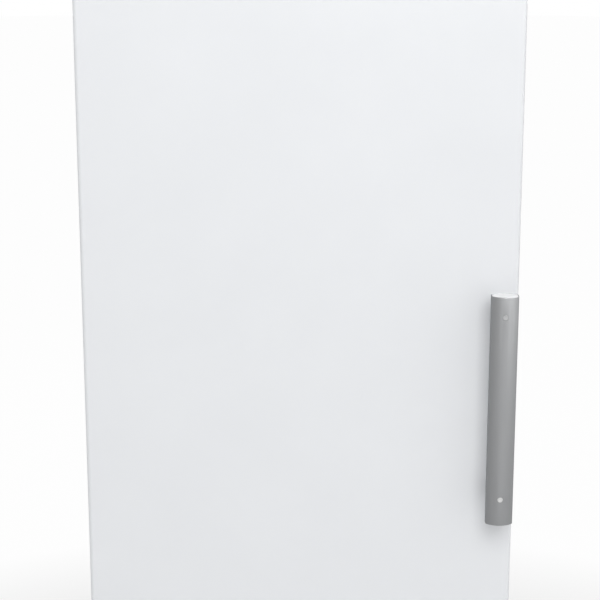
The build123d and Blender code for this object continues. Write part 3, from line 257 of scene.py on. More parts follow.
def softCopy(node, material, width=0.0, steps=2, sharp=35.0, name=None):
    # a merged copy of a solid's mesh, its faces joined up and its edges rounded
    bm = bmesh.new()
    bm.from_mesh(nodes[node].data)
    bmesh.ops.remove_doubles(bm, verts=bm.verts, dist=0.002 * mm)
    bmesh.ops.dissolve_limit(bm, angle_limit=math.radians(0.5), verts=bm.verts, edges=bm.edges)
    if width:
        edges = [e for e in bm.edges if e.is_manifold and abs(e.calc_face_angle(0.0)) > math.radians(32)]
        bmesh.ops.bevel(
            bm, geom=edges, offset=width, segments=steps, profile=0.5, affect="EDGES", clamp_overlap=True
        )
    bmesh.ops.triangulate(bm, faces=[f for f in bm.faces if len(f.verts) > 4])
    return dress(objectFrom(name or camel(node), bm), material, sharp)


def placeCopies(body, *rows):
    # soft copies that need nothing more; each row names its node, material, edge width and slot
    for node, material, width, slot in rows:
        place(softCopy(node, material, width), body, slot, node)


def roundedPath(corners, radii, steps=8, closed=False):
    # 2-D path with each corner turned into an arc
    count = len(corners)
    radii = radii if isinstance(radii, (list, tuple)) else [radii] * count
    path = []
    for index, corner in enumerate(corners):
        here = Vector(corner)
        radius = radii[index]
        if radius <= 0 or (not closed and index in (0, count - 1)):
            path.append(here)
            continue
        back = (Vector(corners[index - 1]) - here).normalized()
        ahead = (Vector(corners[(index + 1) % count]) - here).normalized()
        halfAngle = back.angle(ahead) / 2
        reach = radius / math.tan(halfAngle)
        centre = here + (back + ahead).normalized() * (radius / math.sin(halfAngle))
        start, stop = here + back * reach - centre, here + ahead * reach - centre
        sweep = math.pi - 2 * halfAngle
        for step in range(steps + 1):
            share = step / steps
            low, high = math.sin((1 - share) * sweep), math.sin(share * sweep)
            path.append(centre + (start * low + stop * high) / math.sin(sweep))
    return path


def roundRect(low, high, radius, steps=8):
    corners = [(low[0], low[1]), (high[0], low[1]), (high[0], high[1]), (low[0], high[1])]
    return roundedPath(corners, radius, steps, closed=True)


def fullTurn(steps):  # angles once round
    return [2 * math.pi * step / steps for step in range(steps)]


def quarterTurn(steps):  # angles of a quarter turn, without the first
    return [math.pi / 2 * step / steps for step in range(1, steps + 1)]


def boxOf(node):  # low corner, high corner and centre of a node
    low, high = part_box(node)
    return low, high, (low + high) / 2


def flat(outline, level, up="Z"):
    # outline of (across, along) points lifted into space, level with the floor or facing forwards
    return [Vector((p.x, p.y, level) if up == "Z" else (p.x, level, p.y)) for p in outline]


def bridge(bm, rings, closed=False):
    count = len(rings[0])
    for first, second in zip(rings, rings[1:] + rings[:1] if closed else rings[1:]):
        for index in range(count):
            after = (index + 1) % count
            bm.faces.new((first[index], first[after], second[after], second[index]))


def skinOver(rings, closed=False):
    # mesh over rings of equally many points, with its ends capped unless it closes on itself
    bm = bmesh.new()
    made = [[bm.verts.new(point) for point in ring] for ring in rings]
    bridge(bm, made, closed)
    if not closed:
        bm.faces.new(made[0])
        bm.faces.new(made[-1])
    return bm


def loft(name, rings, material, sharp=35.0, closed=False):
    return toObject(name, skinOver(rings, closed), material, sharp)


def turned(name, profile, centre, axis, material, steps=48, sharp=35.0, closed=False, cut=None):
    # lathe: profile of (radius, height along the axis) pairs; cut says how far an angle at a height is sunk
    x, y, z = Vector((1, 0, 0)), Vector((0, 1, 0)), Vector((0, 0, 1))
    along, first, second = {"X": (x, y, z), "Y": (y, z, x), "Z": (z, x, y)}[axis]
    rings = []
    for radius, height in profile:
        middle, ring = Vector(centre) + along * height, []
        for angle in fullTurn(steps):
            reach = radius - (cut(angle, height) if cut else 0.0)
            ring.append(middle + (first * math.cos(angle) + second * math.sin(angle)) * reach)
        rings.append(ring)
    return loft(name, rings, material, sharp, closed)


def joined(name, *objs):
    # several shells made one mesh
    bm = bmesh.new()
    for obj in objs:
        bm.from_mesh(obj.data)
    material = objs[0].data.materials[0]
    for obj in objs:
        bpy.data.objects.remove(obj)
    return dress(objectFrom(name, bm), material)


def cutWith(obj, *cutters):
    for cutter in cutters:
        modifier = obj.modifiers.new("cut", "BOOLEAN")
        modifier.object, modifier.operation, modifier.solver = cutter, "DIFFERENCE", "EXACT"
    bpy.context.view_layer.update()
    evaluated = obj.evaluated_get(bpy.context.evaluated_depsgraph_get())
    mesh = bpy.data.meshes.new_from_object(evaluated)
    material = obj.data.materials[0]
    obj.modifiers.clear()
    obj.data = mesh
    for cutter in cutters:
        bpy.data.objects.remove(cutter)
    return dress(obj, material)


# Geometry Nodes: trees with named inputs, turned into plain meshes before they ride
def newGrower(name, *inputs):
    inputs = [("Geometry", "Geometry", None), *inputs, ("Material", "Material", None)]
    return newTree(name, "Geometry", inputs, [("Geometry", "Geometry")])


def endTree(tree, given, out, geometry):
    plain = addNode(tree, "GeometryNodeRealizeInstances", {"Geometry": geometry}).outputs[0]
    finished = addNode(tree, "GeometryNodeSetMaterial", {"Geometry": plain, "Material": given["Material"]})
    feed(tree, out["Geometry"], finished.outputs[0])
    return tree


def tubeTree():  # round tube along a route of points, its corners bent
    tree, given, out = newGrower(
        "tubeAlongRoute", ("Radius", "Float", 3.0 * mm), ("Bend radius", "Float", 20.0 * mm),
        ("Bend steps", "Int", 8), ("Sides", "Int", 12))
    route = addNode(tree, "GeometryNodeMeshToCurve", {"Mesh": given["Geometry"]}).outputs[0]
    bent = addNode(
        tree, "GeometryNodeFilletCurve",
        {"Curve": route, "Count": given["Bend steps"], "Radius": given["Bend radius"], "Limit Radius": True},
        mode="POLY",
    ).outputs[0]
    section = addNode(
        tree, "GeometryNodeCurvePrimitiveCircle", {"Resolution": given["Sides"], "Radius": given["Radius"]}
    ).outputs[0]
    tube = addNode(
        tree, "GeometryNodeCurveToMesh", {"Curve": bent, "Profile Curve": section, "Fill Caps": True}
    ).outputs[0]
    return endTree(tree, given, out, tube)


def repeatTree():  # a piece repeated in columns and rows
    tree, given, out = newGrower(
        "piecesInRows", ("Piece", "Object", None), ("Columns", "Int", 3),
        ("Column step", "Vector", (10.0 * mm, 0, 0)), ("Rows", "Int", 1),
        ("Row step", "Vector", (0, 0, 10.0 * mm)), ("Start", "Vector", (0, 0, 0)))
    piece = addNode(tree, "GeometryNodeObjectInfo", {"Object": given["Piece"]}).outputs["Geometry"]
    row = addNode(tree, "GeometryNodeMeshLine", {"Count": given["Columns"], "Offset": given["Column step"]})
    line = addNode(tree, "GeometryNodeInstanceOnPoints", {"Points": row.outputs[0], "Instance": piece})
    column = addNode(
        tree, "GeometryNodeMeshLine",
        {"Count": given["Rows"], "Start Location": given["Start"], "Offset": given["Row step"]},
    )
    field = addNode(tree, "GeometryNodeInstanceOnPoints", {"Points": column.outputs[0], "Instance": line.outputs[0]})
    return endTree(tree, given, out, field.outputs[0])


def ringTree():  # a piece repeated round an axis
    tree, given, out = newGrower(
        "piecesInRing", ("Piece", "Object", None), ("Count", "Int", 6), ("First angle", "Float", 0.0),
        ("Angle step", "Float", 1.0), ("Axis", "Vector", (0, 0, 1)), ("Centre", "Vector", (0, 0, 0)))
    piece = addNode(tree, "GeometryNodeObjectInfo", {"Object": given["Piece"]}).outputs["Geometry"]
    points = addNode(tree, "GeometryNodePoints", {"Count": given["Count"], "Position": given["Centre"]}).outputs[0]
    index = addNode(tree, "GeometryNodeInputIndex").outputs[0]
    angle = calc(tree, "MULTIPLY_ADD", index, given["Angle step"], given["First angle"])
    turn = addNode(tree, "FunctionNodeAxisAngleToRotation", {"Axis": given["Axis"], "Angle": angle}).outputs[0]
    ring = addNode(tree, "GeometryNodeInstanceOnPoints", {"Points": points, "Instance": piece, "Rotation": turn})
    return endTree(tree, given, out, ring.outputs[0])


trees = {"tube": tubeTree(), "rows": repeatTree(), "ring": ringTree()}


def grown(name, tree, material, values, points=((0, 0, 0),), sharp=35.0):
    # runs a tree over a line of points and keeps its result as a plain mesh
    mesh = bpy.data.meshes.new(name)
    mesh.from_pydata([Vector(p) for p in points], [(i, i + 1) for i in range(len(points) - 1)], [])
    obj = bpy.data.objects.new(name, mesh)
    bpy.context.scene.collection.objects.link(obj)
    modifier = obj.modifiers.new(tree.name, "NODES")
    modifier.node_group = tree
    values = {**values, "Material": material}
    for item in tree.interface.items_tree:
        if item.item_type == "SOCKET" and item.in_out == "INPUT" and item.name in values:
            modifier[item.identifier] = values[item.name]
    bpy.context.view_layer.update()
    evaluated = obj.evaluated_get(bpy.context.evaluated_depsgraph_get())
    result = bpy.data.meshes.new_from_object(evaluated)
    obj.modifiers.remove(modifier)
    obj.data = result
    piece = values.get("Piece")
    if piece:
        bpy.data.objects.remove(piece)
    bm = bmesh.new()
    bm.from_mesh(result)
    bmesh.ops.recalc_face_normals(bm, faces=bm.faces)
    bm.to_mesh(result)
    bm.free()
    return dress(obj, material, sharp)


print("tools, shader groups and trees ready")


# Camera and studio
cameraLook = {"height": 1.697, "distance": 2.306, "pitch": 14.5, "lens": 105.06, "sensor": 36.0}
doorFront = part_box("door_skin")[0].y
cameraData = bpy.data.cameras.new("photoCamera")
cameraData.lens = cameraLook["lens"]
cameraData.sensor_width = cameraLook["sensor"]
camera = bpy.data.objects.new("photoCamera", cameraData)
camera.location = (0, doorFront - cameraLook["distance"], cameraLook["height"])
camera.rotation_euler = (math.radians(90 - cameraLook["pitch"]), 0, 0)
bpy.context.scene.collection.objects.link(camera)
bpy.context.scene.camera = camera
bpy.context.scene.view_settings.view_transform = "Standard"

studioLook = {
    "reach": 16.0, "sides": 72, "colour": 0.62, "mottle": 0.6107, "lit": 0.965, "shadeNear": 0.42, "shadeFar": 1.6,
    "roughness": 0.9, "mottleScale": 3.0, "grainScale": 400.0, "grainStrength": 0.1,
    # soft room light, a little brighter from above, from the right and from the white wall behind
    "level": 0.635, "right": 0.12, "up": 0.12, "behind": 0.4, "background": 1.0,
}
# each lamp's place, target, width and height in metres, watts, and whether only metal and gloss show it
lampLook = {
    "keySoftbox": ((0.3, -2.75, 2.65), (0.15, -0.3, 1.2), (1.3, 1.5), 37, False),
    "sheenSoftbox": ((1.15, -0.95, 2.0), (0.27, -0.34, 1.1), (0.6, 0.7), 31, True),
    "frontSheen": ((0.8, -1.4, 2.1), (0.27, -0.34, 1.1), (0.6, 0.6), 12, True),
    "backSoftbox": ((-0.9, 2.8, 1.9), (0.0, 0.3, 0.8), (2.0, 1.8), 16, False),
}


def seenRays(tree):  # 1 where the camera looks, also through clear pieces
    rays = addNode(tree, "ShaderNodeLightPath").outputs
    return calc(tree, "MAXIMUM", rays["Is Camera Ray"], rays["Is Transmission Ray"])


def studioMaterial():
    # pale floor: paper that keeps the shadow, whitened for the camera away from the object
    look = studioLook
    material, tree, paper, where = newMaterial("paperFloor", {"Roughness": look["roughness"]})
    mottle = remap(tree, noise(tree, where, look["mottleScale"], 4.0), 0.3, 0.7)
    light, dark = look["colour"], look["mottle"]
    feed(tree, paper.inputs["Base Color"], blendColour(tree, mottle, (dark, dark, dark, 1), (light, light, light, 1)))
    grain = {"Height": noise(tree, where, look["grainScale"]), "Strength": look["grainStrength"]}
    feed(tree, paper.inputs["Normal"], addNode(tree, "ShaderNodeBump", grain).outputs[0])
    seen = seenRays(tree)
    away = addNode(tree, "ShaderNodeVectorMath", {0: where}, operation="LENGTH").outputs["Value"]
    share = remap(tree, away, look["shadeNear"], look["shadeFar"], 0.0, look["lit"])
    glow = addNode(tree, "ShaderNodeEmission", {"Color": (1, 1, 1, 1), "Strength": 1.0})
    mixSurface(tree, calc(tree, "MULTIPLY", seen, share), paper, glow)
    return material


def studioFloor():
    bm = bmesh.new()
    look = studioLook
    bmesh.ops.create_circle(bm, cap_ends=True, cap_tris=True, radius=look["reach"], segments=look["sides"])
    dress(objectFrom("studioFloor", bm), studioMaterial())


def lamp(name, place, target, size, power, shineOnly):
    data = bpy.data.lights.new(name, "AREA")
    data.shape, data.size, data.size_y = "RECTANGLE", size[0], size[1]
    data.energy = power
    obj = bpy.data.objects.new(name, data)
    obj.visible_camera = False
    obj.visible_diffuse = not shineOnly
    obj.location = place
    obj.rotation_euler = (Vector(target) - Vector(place)).to_track_quat("-Z", "Y").to_euler()
    bpy.context.scene.collection.objects.link(obj)


def studioWorld():
    look = studioLook
    world = bpy.data.worlds.new("studioWorld")
    bpy.context.scene.world = world
    world.use_nodes = True
    tree = world.node_tree
    way = addNode(tree, "ShaderNodeSeparateXYZ", {0: addNode(tree, "ShaderNodeTexCoord").outputs["Generated"]})
    sideways = calc(tree, "MULTIPLY_ADD", way.outputs[0], look["right"], look["level"])
    room = calc(tree, "MULTIPLY_ADD", way.outputs[2], look["up"], sideways)
    room = calc(tree, "MULTIPLY_ADD", calc(tree, "MAXIMUM", way.outputs[1], 0.0), look["behind"], room)
    seen = seenRays(tree)
    level = addNode(tree, "ShaderNodeMix", {0: seen, 2: room, 3: look["background"]}, data_type="FLOAT").outputs[0]
    tree.nodes["Background"].inputs["Color"].default_value = (1, 1, 1, 1)
    feed(tree, tree.nodes["Background"].inputs["Strength"], level)


studioFloor()
studioWorld()
for name, values in lampLook.items():
    lamp(name, *values)
print("camera and studio ready")

# Door sheet and its end caps
doorLook = {
    "cornerRadius": 6.0 * mm, "hemRadius": 2.5 * mm, "lip": 12.0 * mm, "sheet": 0.8 * mm, "steps": 10,
    "paint": {
        "pattern": "paintPeel", "scale": 620.0, "waves": 0.5, "strength": 0.16, "depth": 0.04 * mm,
        "colour": (0.825, 0.84, 0.862), "shade": (0.84, 0.855, 0.876), "roughness": 0.3, "spread": 0.05,
        "sockets": {"Coat Weight": 0.25, "Coat Roughness": 0.12, "IOR": 1.5},
    },
}
doorPaint = finishFor("doorPaint", doorLook["paint"])


def makeDoorSkin():
    low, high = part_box("door_skin")
    lip, corner, hem = doorLook["lip"], doorLook["cornerRadius"], doorLook["hemRadius"]
    sheet, steps = doorLook["sheet"], doorLook["steps"]

    def route(inset):
        left, right, near, far = low.x + inset, high.x - inset, low.y + inset, high.y - inset
        corners = [
            (low.x + lip, far), (left, far), (left, near), (right, near), (right, far), (high.x - lip, far),
        ]
        return roundedPath(corners, [0, hem - inset, corner - inset, corner - inset, hem - inset, 0], steps)

    section = route(0.0) + route(sheet)[::-1]
    front = loft("doorSkin", [flat(section, z) for z in (low.z, high.z)], doorPaint, 30)
    return place(front, "door", "white_paint", "door_skin")


capLook = {
    "edge": 0.9 * mm,
    "plastic": {
        "colour": (0.78, 0.79, 0.80), "shade": (0.75, 0.76, 0.775), "roughness": 0.42, "scale": 1400.0,
        "strength": 0.12, "depth": 0.03 * mm, "dust": 0.12,
    },
}
whitePlastic = finishFor("whitePlastic", capLook["plastic"])
makeDoorSkin()
placeCopies("door", ("door_cap_top", whitePlastic, capLook["edge"], "white_plastic"),
            ("door_cap_bottom", whitePlastic, capLook["edge"], "white_plastic"))
print("door sheet and caps made")

# Handle: crowned bar with flat ends closed by plugs, posts, screws and their caps; the plugs' white is partly a
# painted highlight on the bar's top end
handleLook = {
    "crown": 8.0 * mm, "backRise": 6.0 * mm, "sideRadius": 5.0 * mm, "rim": 0.6 * mm, "plug": 1.3 * mm,
    "plugGroove": 0.35 * mm, "rimSteps": 5, "arcSteps": 20, "sideSteps": 6, "capRadius": 3.7 * mm,
    "seatGap": 0.15 * mm, "seatDepth": 5.2 * mm, "capDish": 0.5 * mm, "postCorner": 9 * mm,
    "silver": {
        "pattern": "brushGrain", "scale": 900.0, "stretch": (1.0, 1.0, 0.05), "strength": 0.05,
        "depth": 0.01 * mm, "colour": (0.355, 0.36, 0.367), "shade": (0.37, 0.375, 0.382),
        "roughness": 0.52, "spread": 0.03, "wear": 0.2, "wearRadius": 1.0 * mm,
        "wearColour": (0.6, 0.6, 0.6),
        "sockets": {"Metallic": 0.85, "Specular Tint": (0.5, 0.5, 0.51, 1.0)},
    },
    # white of the end plugs: white plastic, and partly a painted highlight for the bright top end of the bar
    "plugWhitePaintedHighlight": {
        "colour": (0.84, 0.845, 0.85), "shade": (0.80, 0.805, 0.81), "roughness": 0.3, "scale": 2400.0,
        "strength": 0.1, "depth": 0.02 * mm,
    },
    "capWhite": {
        "colour": (0.72, 0.72, 0.71), "shade": (0.66, 0.66, 0.66), "roughness": 0.4, "scale": 2400.0,
        "strength": 0.15, "depth": 0.02 * mm,
    },
    "capGrey": {
        "colour": (0.5, 0.505, 0.51), "shade": (0.46, 0.465, 0.47), "roughness": 0.4, "scale": 2400.0,
        "strength": 0.15, "depth": 0.02 * mm,
    },
}
screwLevels = [sum(corner.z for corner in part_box(node)) / 2 for node in ("screw_cap_lower", "screw_cap_upper")]


def barSection(low, high, inset):
    # plan of the bar: crowned front, gently crowned back, rounded sides, shrunk by inset
    middle, width = (low.x + high.x) / 2, high.x - low.x
    look, steps = handleLook, handleLook["arcSteps"]

    def arc(rise, base, sign):
        radius = (width * width / 4 + rise * rise) / (2 * rise)
        half = math.asin(width / 2 / radius)
        turn = [-half + 2 * half * i / steps for i in range(steps + 1)]
        return [(middle + radius * math.sin(a), base + sign * (radius - radius * math.cos(a))) for a in turn]

    front = arc(look["crown"], low.y, 1)
    rear = arc(look["backRise"], high.y, -1)[::-1]
    tips, reach = (front[0], front[-1], rear[0], rear[-1]), look["sideRadius"]
    kept = [p for p in front + rear if p in tips or min(math.dist(p, tip) for tip in tips) > reach]
    outline = roundedPath(kept, [reach if p in tips else 0 for p in kept], look["sideSteps"], closed=True)
    if not inset:
        return outline
    shrunk = []
    for index, point in enumerate(outline):
        tangent = (outline[(index + 1) % len(outline)] - outline[index - 1]).normalized()
        shrunk.append(point + Vector((-tangent.y, tangent.x)) * inset)
    return shrunk


def makeHandleBar(material):
    low, high, middle = boxOf("handle_bar")
    look, rim, centre = handleLook, handleLook["rim"], middle.xy

    def ringAt(inset, drop, sign, share=1.0):
        level = high.z - drop if sign > 0 else low.z + drop
        return flat([centre + (p - centre) * share for p in barSection(low, high, inset)], level)

    def end(sign):
        groove, plug = look["plugGroove"], look["plug"]
        rings = [ringAt(plug, groove, sign, share) for share in (0.02, 0.5, 1.0)]
        rings.append(ringAt(plug - 0.3 * mm, 0.0, sign))
        for step in range(look["rimSteps"] + 1):
            angle = math.pi / 2 * (1 - step / look["rimSteps"])
            rings.append(ringAt(rim * (1 - math.cos(angle)), rim * (1 - math.sin(angle)), sign))
        return rings

    bar = loft("handleBar", end(1) + end(-1)[::-1], material, 28)
    radius = look["capRadius"] + look["seatGap"]
    profile = [(radius, -2 * mm), (radius, look["seatDepth"])]
    return cutWith(bar, *(turned("seat", profile, (middle.x, low.y, z), "Y", material, 32) for z in screwLevels))


def makePlugs(material):
    # moulded plugs that close the two ends of the bar, with a rounded rim
    low, high, middle = boxOf("handle_bar")
    look, centre, plugs = handleLook, middle.xy, []
    for sign, end in ((1, high.z), (-1, low.z)):
        rings = []
        for inset, drop in ((0.1, 0.4), (0.1, 0.12), (0.2, 0.04), (0.4, 0.0), (3.0, 0.0)):
            rings.append(flat(barSection(low, high, look["plug"] + inset * mm), end - sign * drop * mm))
        rings.append(flat([centre + (p.xy - centre) * 0.3 for p in rings[-1]], end))
        plugs.append(loft("plug", rings, material))
    return joined("handlePlugs", *plugs)


def makeScrewCap(node, material):
    # button cap: rounded rim and a shallow dish
    low, high, middle = boxOf(node)
    radius, dish, depth = (high.x - low.x) / 2, handleLook["capDish"], high.y - low.y
    profile = [(0.02 * mm, dish), (radius * 0.35, dish * 0.9), (radius * 0.58, dish * 0.35),
               (radius * 0.74, 0.05 * mm), (radius * 0.86, 0.0), (radius * 0.95, 0.14 * mm),
               (radius, 0.55 * mm), (radius, depth)]
    return turned(camel(node), profile, (middle.x, low.y, middle.z), "Y", material, 40)


def makePosts(material):
    # two posts that widen where they meet the door
    low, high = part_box("handle_posts")
    halfHeight = high.z - screwLevels[1]
    posts = []
    for z in screwLevels:
        rings = []
        for y, grow in ((low.y + 4 * mm, -0.2 * mm), (high.y - 4 * mm, -0.6 * mm), (high.y - 1.6 * mm, -0.3 * mm),
                        (high.y - 0.5 * mm, 0.0), (high.y, 0.0)):
            outline = roundRect((low.x - grow, z - halfHeight - grow), (high.x + grow, z + halfHeight + grow),
                                handleLook["postCorner"] + grow, 10)
            rings.append(flat(outline, y, "Y"))
        posts.append(loft("post", rings, material))
    return joined("handlePosts", *posts)


silver = finishFor("handleSilver", handleLook["silver"])
place(makeHandleBar(silver), "door", "silver_handle", "handle_bar")
place(makePosts(silver), "door", "silver_handle", "handle_posts")
# the plugs' white is partly a painted highlight on the bar's top end
place(makePlugs(finishFor("plugWhitePaintedHighlight", handleLook["plugWhitePaintedHighlight"])), "door", "white_cap")
for node, slot, key in (("screw_cap_lower", "white_cap", "capWhite"), ("screw_cap_upper", "grey_cap", "capGrey")):
    place(makeScrewCap(node, finishFor(key, handleLook[key])), "door", slot, node)
print("handle made")

# Inner door panel: one pressed sheet with a raised middle and three shallow panels
linerLook = {
    "margin": 46.0 * mm, "draft": 3.0 * mm, "fillet": 4.0 * mm, "cornerRadius": 14.0 * mm, "edgeRound": 1.2 * mm,
    "panels": 3, "panelMargin": 26.0 * mm, "panelDepth": 3.0 * mm, "panelDraft": 3.5 * mm,
    "panelFillet": 2.4 * mm, "steps": 4, "cornerSteps": 8, "flange": 2.0 * mm, "flangeCorner": 2.5 * mm,
    "rimCorner": 3.0 * mm,
    "plastic": {
        "pattern": "paintPeel", "scale": 480.0, "waves": 1.2, "strength": 0.12, "depth": 0.05 * mm,
        "colour": (0.745, 0.755, 0.768), "shade": (0.75, 0.76, 0.772), "roughness": 0.34, "spread": 0.02,
    },
}
linerPlastic = finishFor("linerPlastic", linerLook["plastic"])
doorLow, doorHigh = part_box("door_cap_bottom")[0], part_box("door_cap_top")[1]


def sunkProfile(depth, draft, fillet, steps):
    # side view of a pressed wall, as (sideways, upwards) pairs from the foot to the top, both corners round
    path = roundedPath([(-fillet * 1.5, 0), (0, 0), (draft, depth), (draft + fillet * 1.5, depth)], fillet, steps)
    return [(p.x, p.y) for p in path]


def makeDoorLiner():
    low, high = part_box("door_liner")
    look = linerLook
    flangeY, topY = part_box("door_skin")[1].y + look["flange"], high.y
    margin, steps = look["margin"], look["cornerSteps"]
    edge = low.x - doorLow.x

    def ring(inset, y, radius):
        corners = (doorLow.x + inset, doorLow.z + inset), (doorHigh.x - inset, doorHigh.z - inset)
        return flat(roundRect(*corners, radius, steps), y, "Y")

    rings = [ring(edge, flangeY - look["flange"], look["flangeCorner"])]
    for step in range(look["steps"] + 1):
        angle = math.pi / 2 * step / look["steps"]
        inset = edge + look["edgeRound"] * (1 - math.cos(angle))
        rings.append(ring(inset, flangeY - look["edgeRound"] * (1 - math.sin(angle)), look["rimCorner"]))
    wall = sunkProfile(topY - flangeY, look["draft"], look["fillet"], look["steps"])
    for sideways, up in wall:
        rings.append(ring(margin + sideways, flangeY + up, look["cornerRadius"]))
    bm = bmesh.new()
    made = [[bm.verts.new(point) for point in points] for points in rings]
    bridge(bm, made)
    bm.faces.new(made[0])
    holes = []
    span = (doorHigh.z - doorLow.z - 2 * margin) / look["panels"]
    for index in range(look["panels"]):
        bottom = doorLow.z + margin + index * span + look["panelMargin"]
        corners = [
            (doorLow.x + margin + look["panelMargin"], bottom),
            (doorHigh.x - margin - look["panelMargin"], bottom + span - 2 * look["panelMargin"]),
        ]
        pocket = []
        for sideways, up in sunkProfile(look["panelDepth"], look["panelDraft"], look["panelFillet"], look["steps"]):
            outline = roundRect((corners[0][0] + sideways, corners[0][1] + sideways),
                                (corners[1][0] - sideways, corners[1][1] - sideways), look["cornerRadius"], steps)
            pocket.append([bm.verts.new(point) for point in flat(outline, topY - up, "Y")])
        bridge(bm, pocket)
        bm.faces.new(pocket[-1])
        holes.append(pocket[0])
    fillBetween(bm, made[-1], holes)
    liner = toObject("doorLiner", bm, linerPlastic, 40)
    return place(liner, "door", "white_liner", "door_liner")


def fillBetween(bm, outer, holes):
    # flat face with holes between loops of points
    edges = []
    for loop in [outer, *holes]:
        for index, vert in enumerate(loop):
            after = loop[(index + 1) % len(loop)]
            edges.append(bm.edges.get((vert, after)) or bm.edges.new((vert, after)))
    bmesh.ops.triangle_fill(bm, edges=edges, use_beauty=True)


# Gasket: soft bellows and a magnet pocket, mitred at its four corners
gasketLook = {
    "foot": 12.0 * mm, "neck": 7.0 * mm, "head": 16.0 * mm, "headDepth": 5.0 * mm, "footDepth": 2.0 * mm,
    "dart": 2.6 * mm, "dartDepth": 5.0 * mm, "inset": 16.0 * mm,
    "vinyl": {
        "colour": (0.58, 0.59, 0.60), "shade": (0.52, 0.53, 0.545), "roughness": 0.55, "scale": 1600.0,
        "strength": 0.2, "depth": 0.03 * mm, "sockets": {"Subsurface Weight": 0.05},
    },
}


def makeGasket():
    # one section carried round the door, mirrored across its own middle
    low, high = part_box("door_gasket")
    look = gasketLook
    middle = look["inset"] + look["head"] / 2
    base = low.y + look["dartDepth"]
    face = high.y
    bellowsLow, bellowsHigh = base + look["footDepth"], face - look["headDepth"]
    fold = (bellowsHigh - bellowsLow) / 2
    half = {key: look[key] / 2 for key in ("foot", "neck", "head", "dart")}
    side = [
        (half["dart"] * 0.7, low.y), (half["dart"], low.y + 0.8 * mm), (half["dart"] * 0.8, base),
        (half["foot"], base), (half["foot"], bellowsLow), (half["neck"], bellowsLow + 0.2 * mm),
        (half["neck"] + 0.9 * mm, bellowsLow + fold), (half["neck"] - 0.4 * mm, bellowsHigh - 0.2 * mm),
        (half["head"], bellowsHigh), (half["head"], face - 0.9 * mm), (half["head"] - 2.6 * mm, face),
    ]
    rounds = [radius * mm for radius in (0.3, 0.2, 0.2, 0.4, 0.7, 0.4, 1.0, 0.4, 1.1, 0.8, 1.2)]
    corners = [(-x, y) for x, y in side] + [(x, y) for x, y in side[::-1]]
    section = roundedPath(corners, rounds + rounds[::-1], 3, closed=True)
    rings = []
    for sx, sz in ((-1, -1), (1, -1), (1, 1), (-1, 1)):
        ring = []
        for p in section:
            inset = middle + p.x
            x = doorLow.x + inset if sx < 0 else doorHigh.x - inset
            z = doorLow.z + inset if sz < 0 else doorHigh.z - inset
            ring.append(Vector((x, p.y, z)))
        rings.append(ring)
    gasket = loft("doorGasket", rings, finishFor("gasketVinyl", look["vinyl"]), 50, closed=True)
    return place(gasket, "door", "grey_gasket", "door_gasket")


makeDoorLiner()
makeGasket()
hiddenLook = {
    "foamDraw": 4.0 * mm, "foamReach": 8.0 * mm, "foamDrop": 1.0 * mm, "foamSetback": 2.5 * mm,
    "foamRim": 3.0 * mm, "bushEdge": 0.3 * mm, "screwEdge": 0.25 * mm,
    "foam": {
        "colour": (0.72, 0.62, 0.38), "shade": (0.62, 0.51, 0.29), "roughness": 0.85, "scale": 420.0,
        "strength": 0.7, "depth": 0.5 * mm,
    },
    "bush": {
        "colour": (0.66, 0.66, 0.62), "shade": (0.6, 0.6, 0.56), "roughness": 0.4, "scale": 2000.0,
        "strength": 0.1, "depth": 0.02 * mm,
    },
    "screw": {
        "pattern": "brushGrain", "scale": 1500.0, "stretch": (1.0, 1.0, 0.3), "strength": 0.15,
        "depth": 0.02 * mm, "colour": (0.55, 0.55, 0.54), "shade": (0.44, 0.44, 0.45), "roughness": 0.34,
        "spread": 0.12, "sockets": {"Metallic": 1.0},
    },
}
foam, bushPlastic, screwSteel = finishes(
    hiddenLook, {"insulationFoam": "foam", "bushPlastic": "bush", "screwSteel": "screw"})


def makeDoorFoam():
    # the foam's raised middle is drawn in a little, so that it stays under the rounded rim of the inner panel
    piece = softCopy("door_foam", foam)
    high, middle = boxOf("door_foam")[1:]
    draw, reach = hiddenLook["foamDraw"], hiddenLook["foamReach"]
    for vert in piece.data.vertices:
        if vert.co.y > high.y - reach:
            vert.co.x -= math.copysign(min(draw, abs(vert.co.x - middle.x)), vert.co.x - middle.x)
            vert.co.z -= math.copysign(min(draw, abs(vert.co.z - middle.z)), vert.co.z - middle.z)
            vert.co.y -= hiddenLook["foamDrop"]
    return place(piece, "door", "foam", "door_foam")


def makeCabinetFoam():
    # its front rim stands back a little from the joint of the liner with the rails
    piece = softCopy("cabinet_foam", foam)
    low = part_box("cabinet_foam")[0]
    for vert in piece.data.vertices:
        if vert.co.y < low.y + hiddenLook["foamRim"]:
            vert.co.y += hiddenLook["foamSetback"]
    return place(piece, "cabinet", "foam", "cabinet_foam")


makeDoorFoam()
makeCabinetFoam()
placeCopies("door", ("door_bushes", bushPlastic, hiddenLook["bushEdge"], "bush_plastic"),
            ("handle_screws", screwSteel, hiddenLook["screwEdge"], "screw_steel"))
print("inner door made")

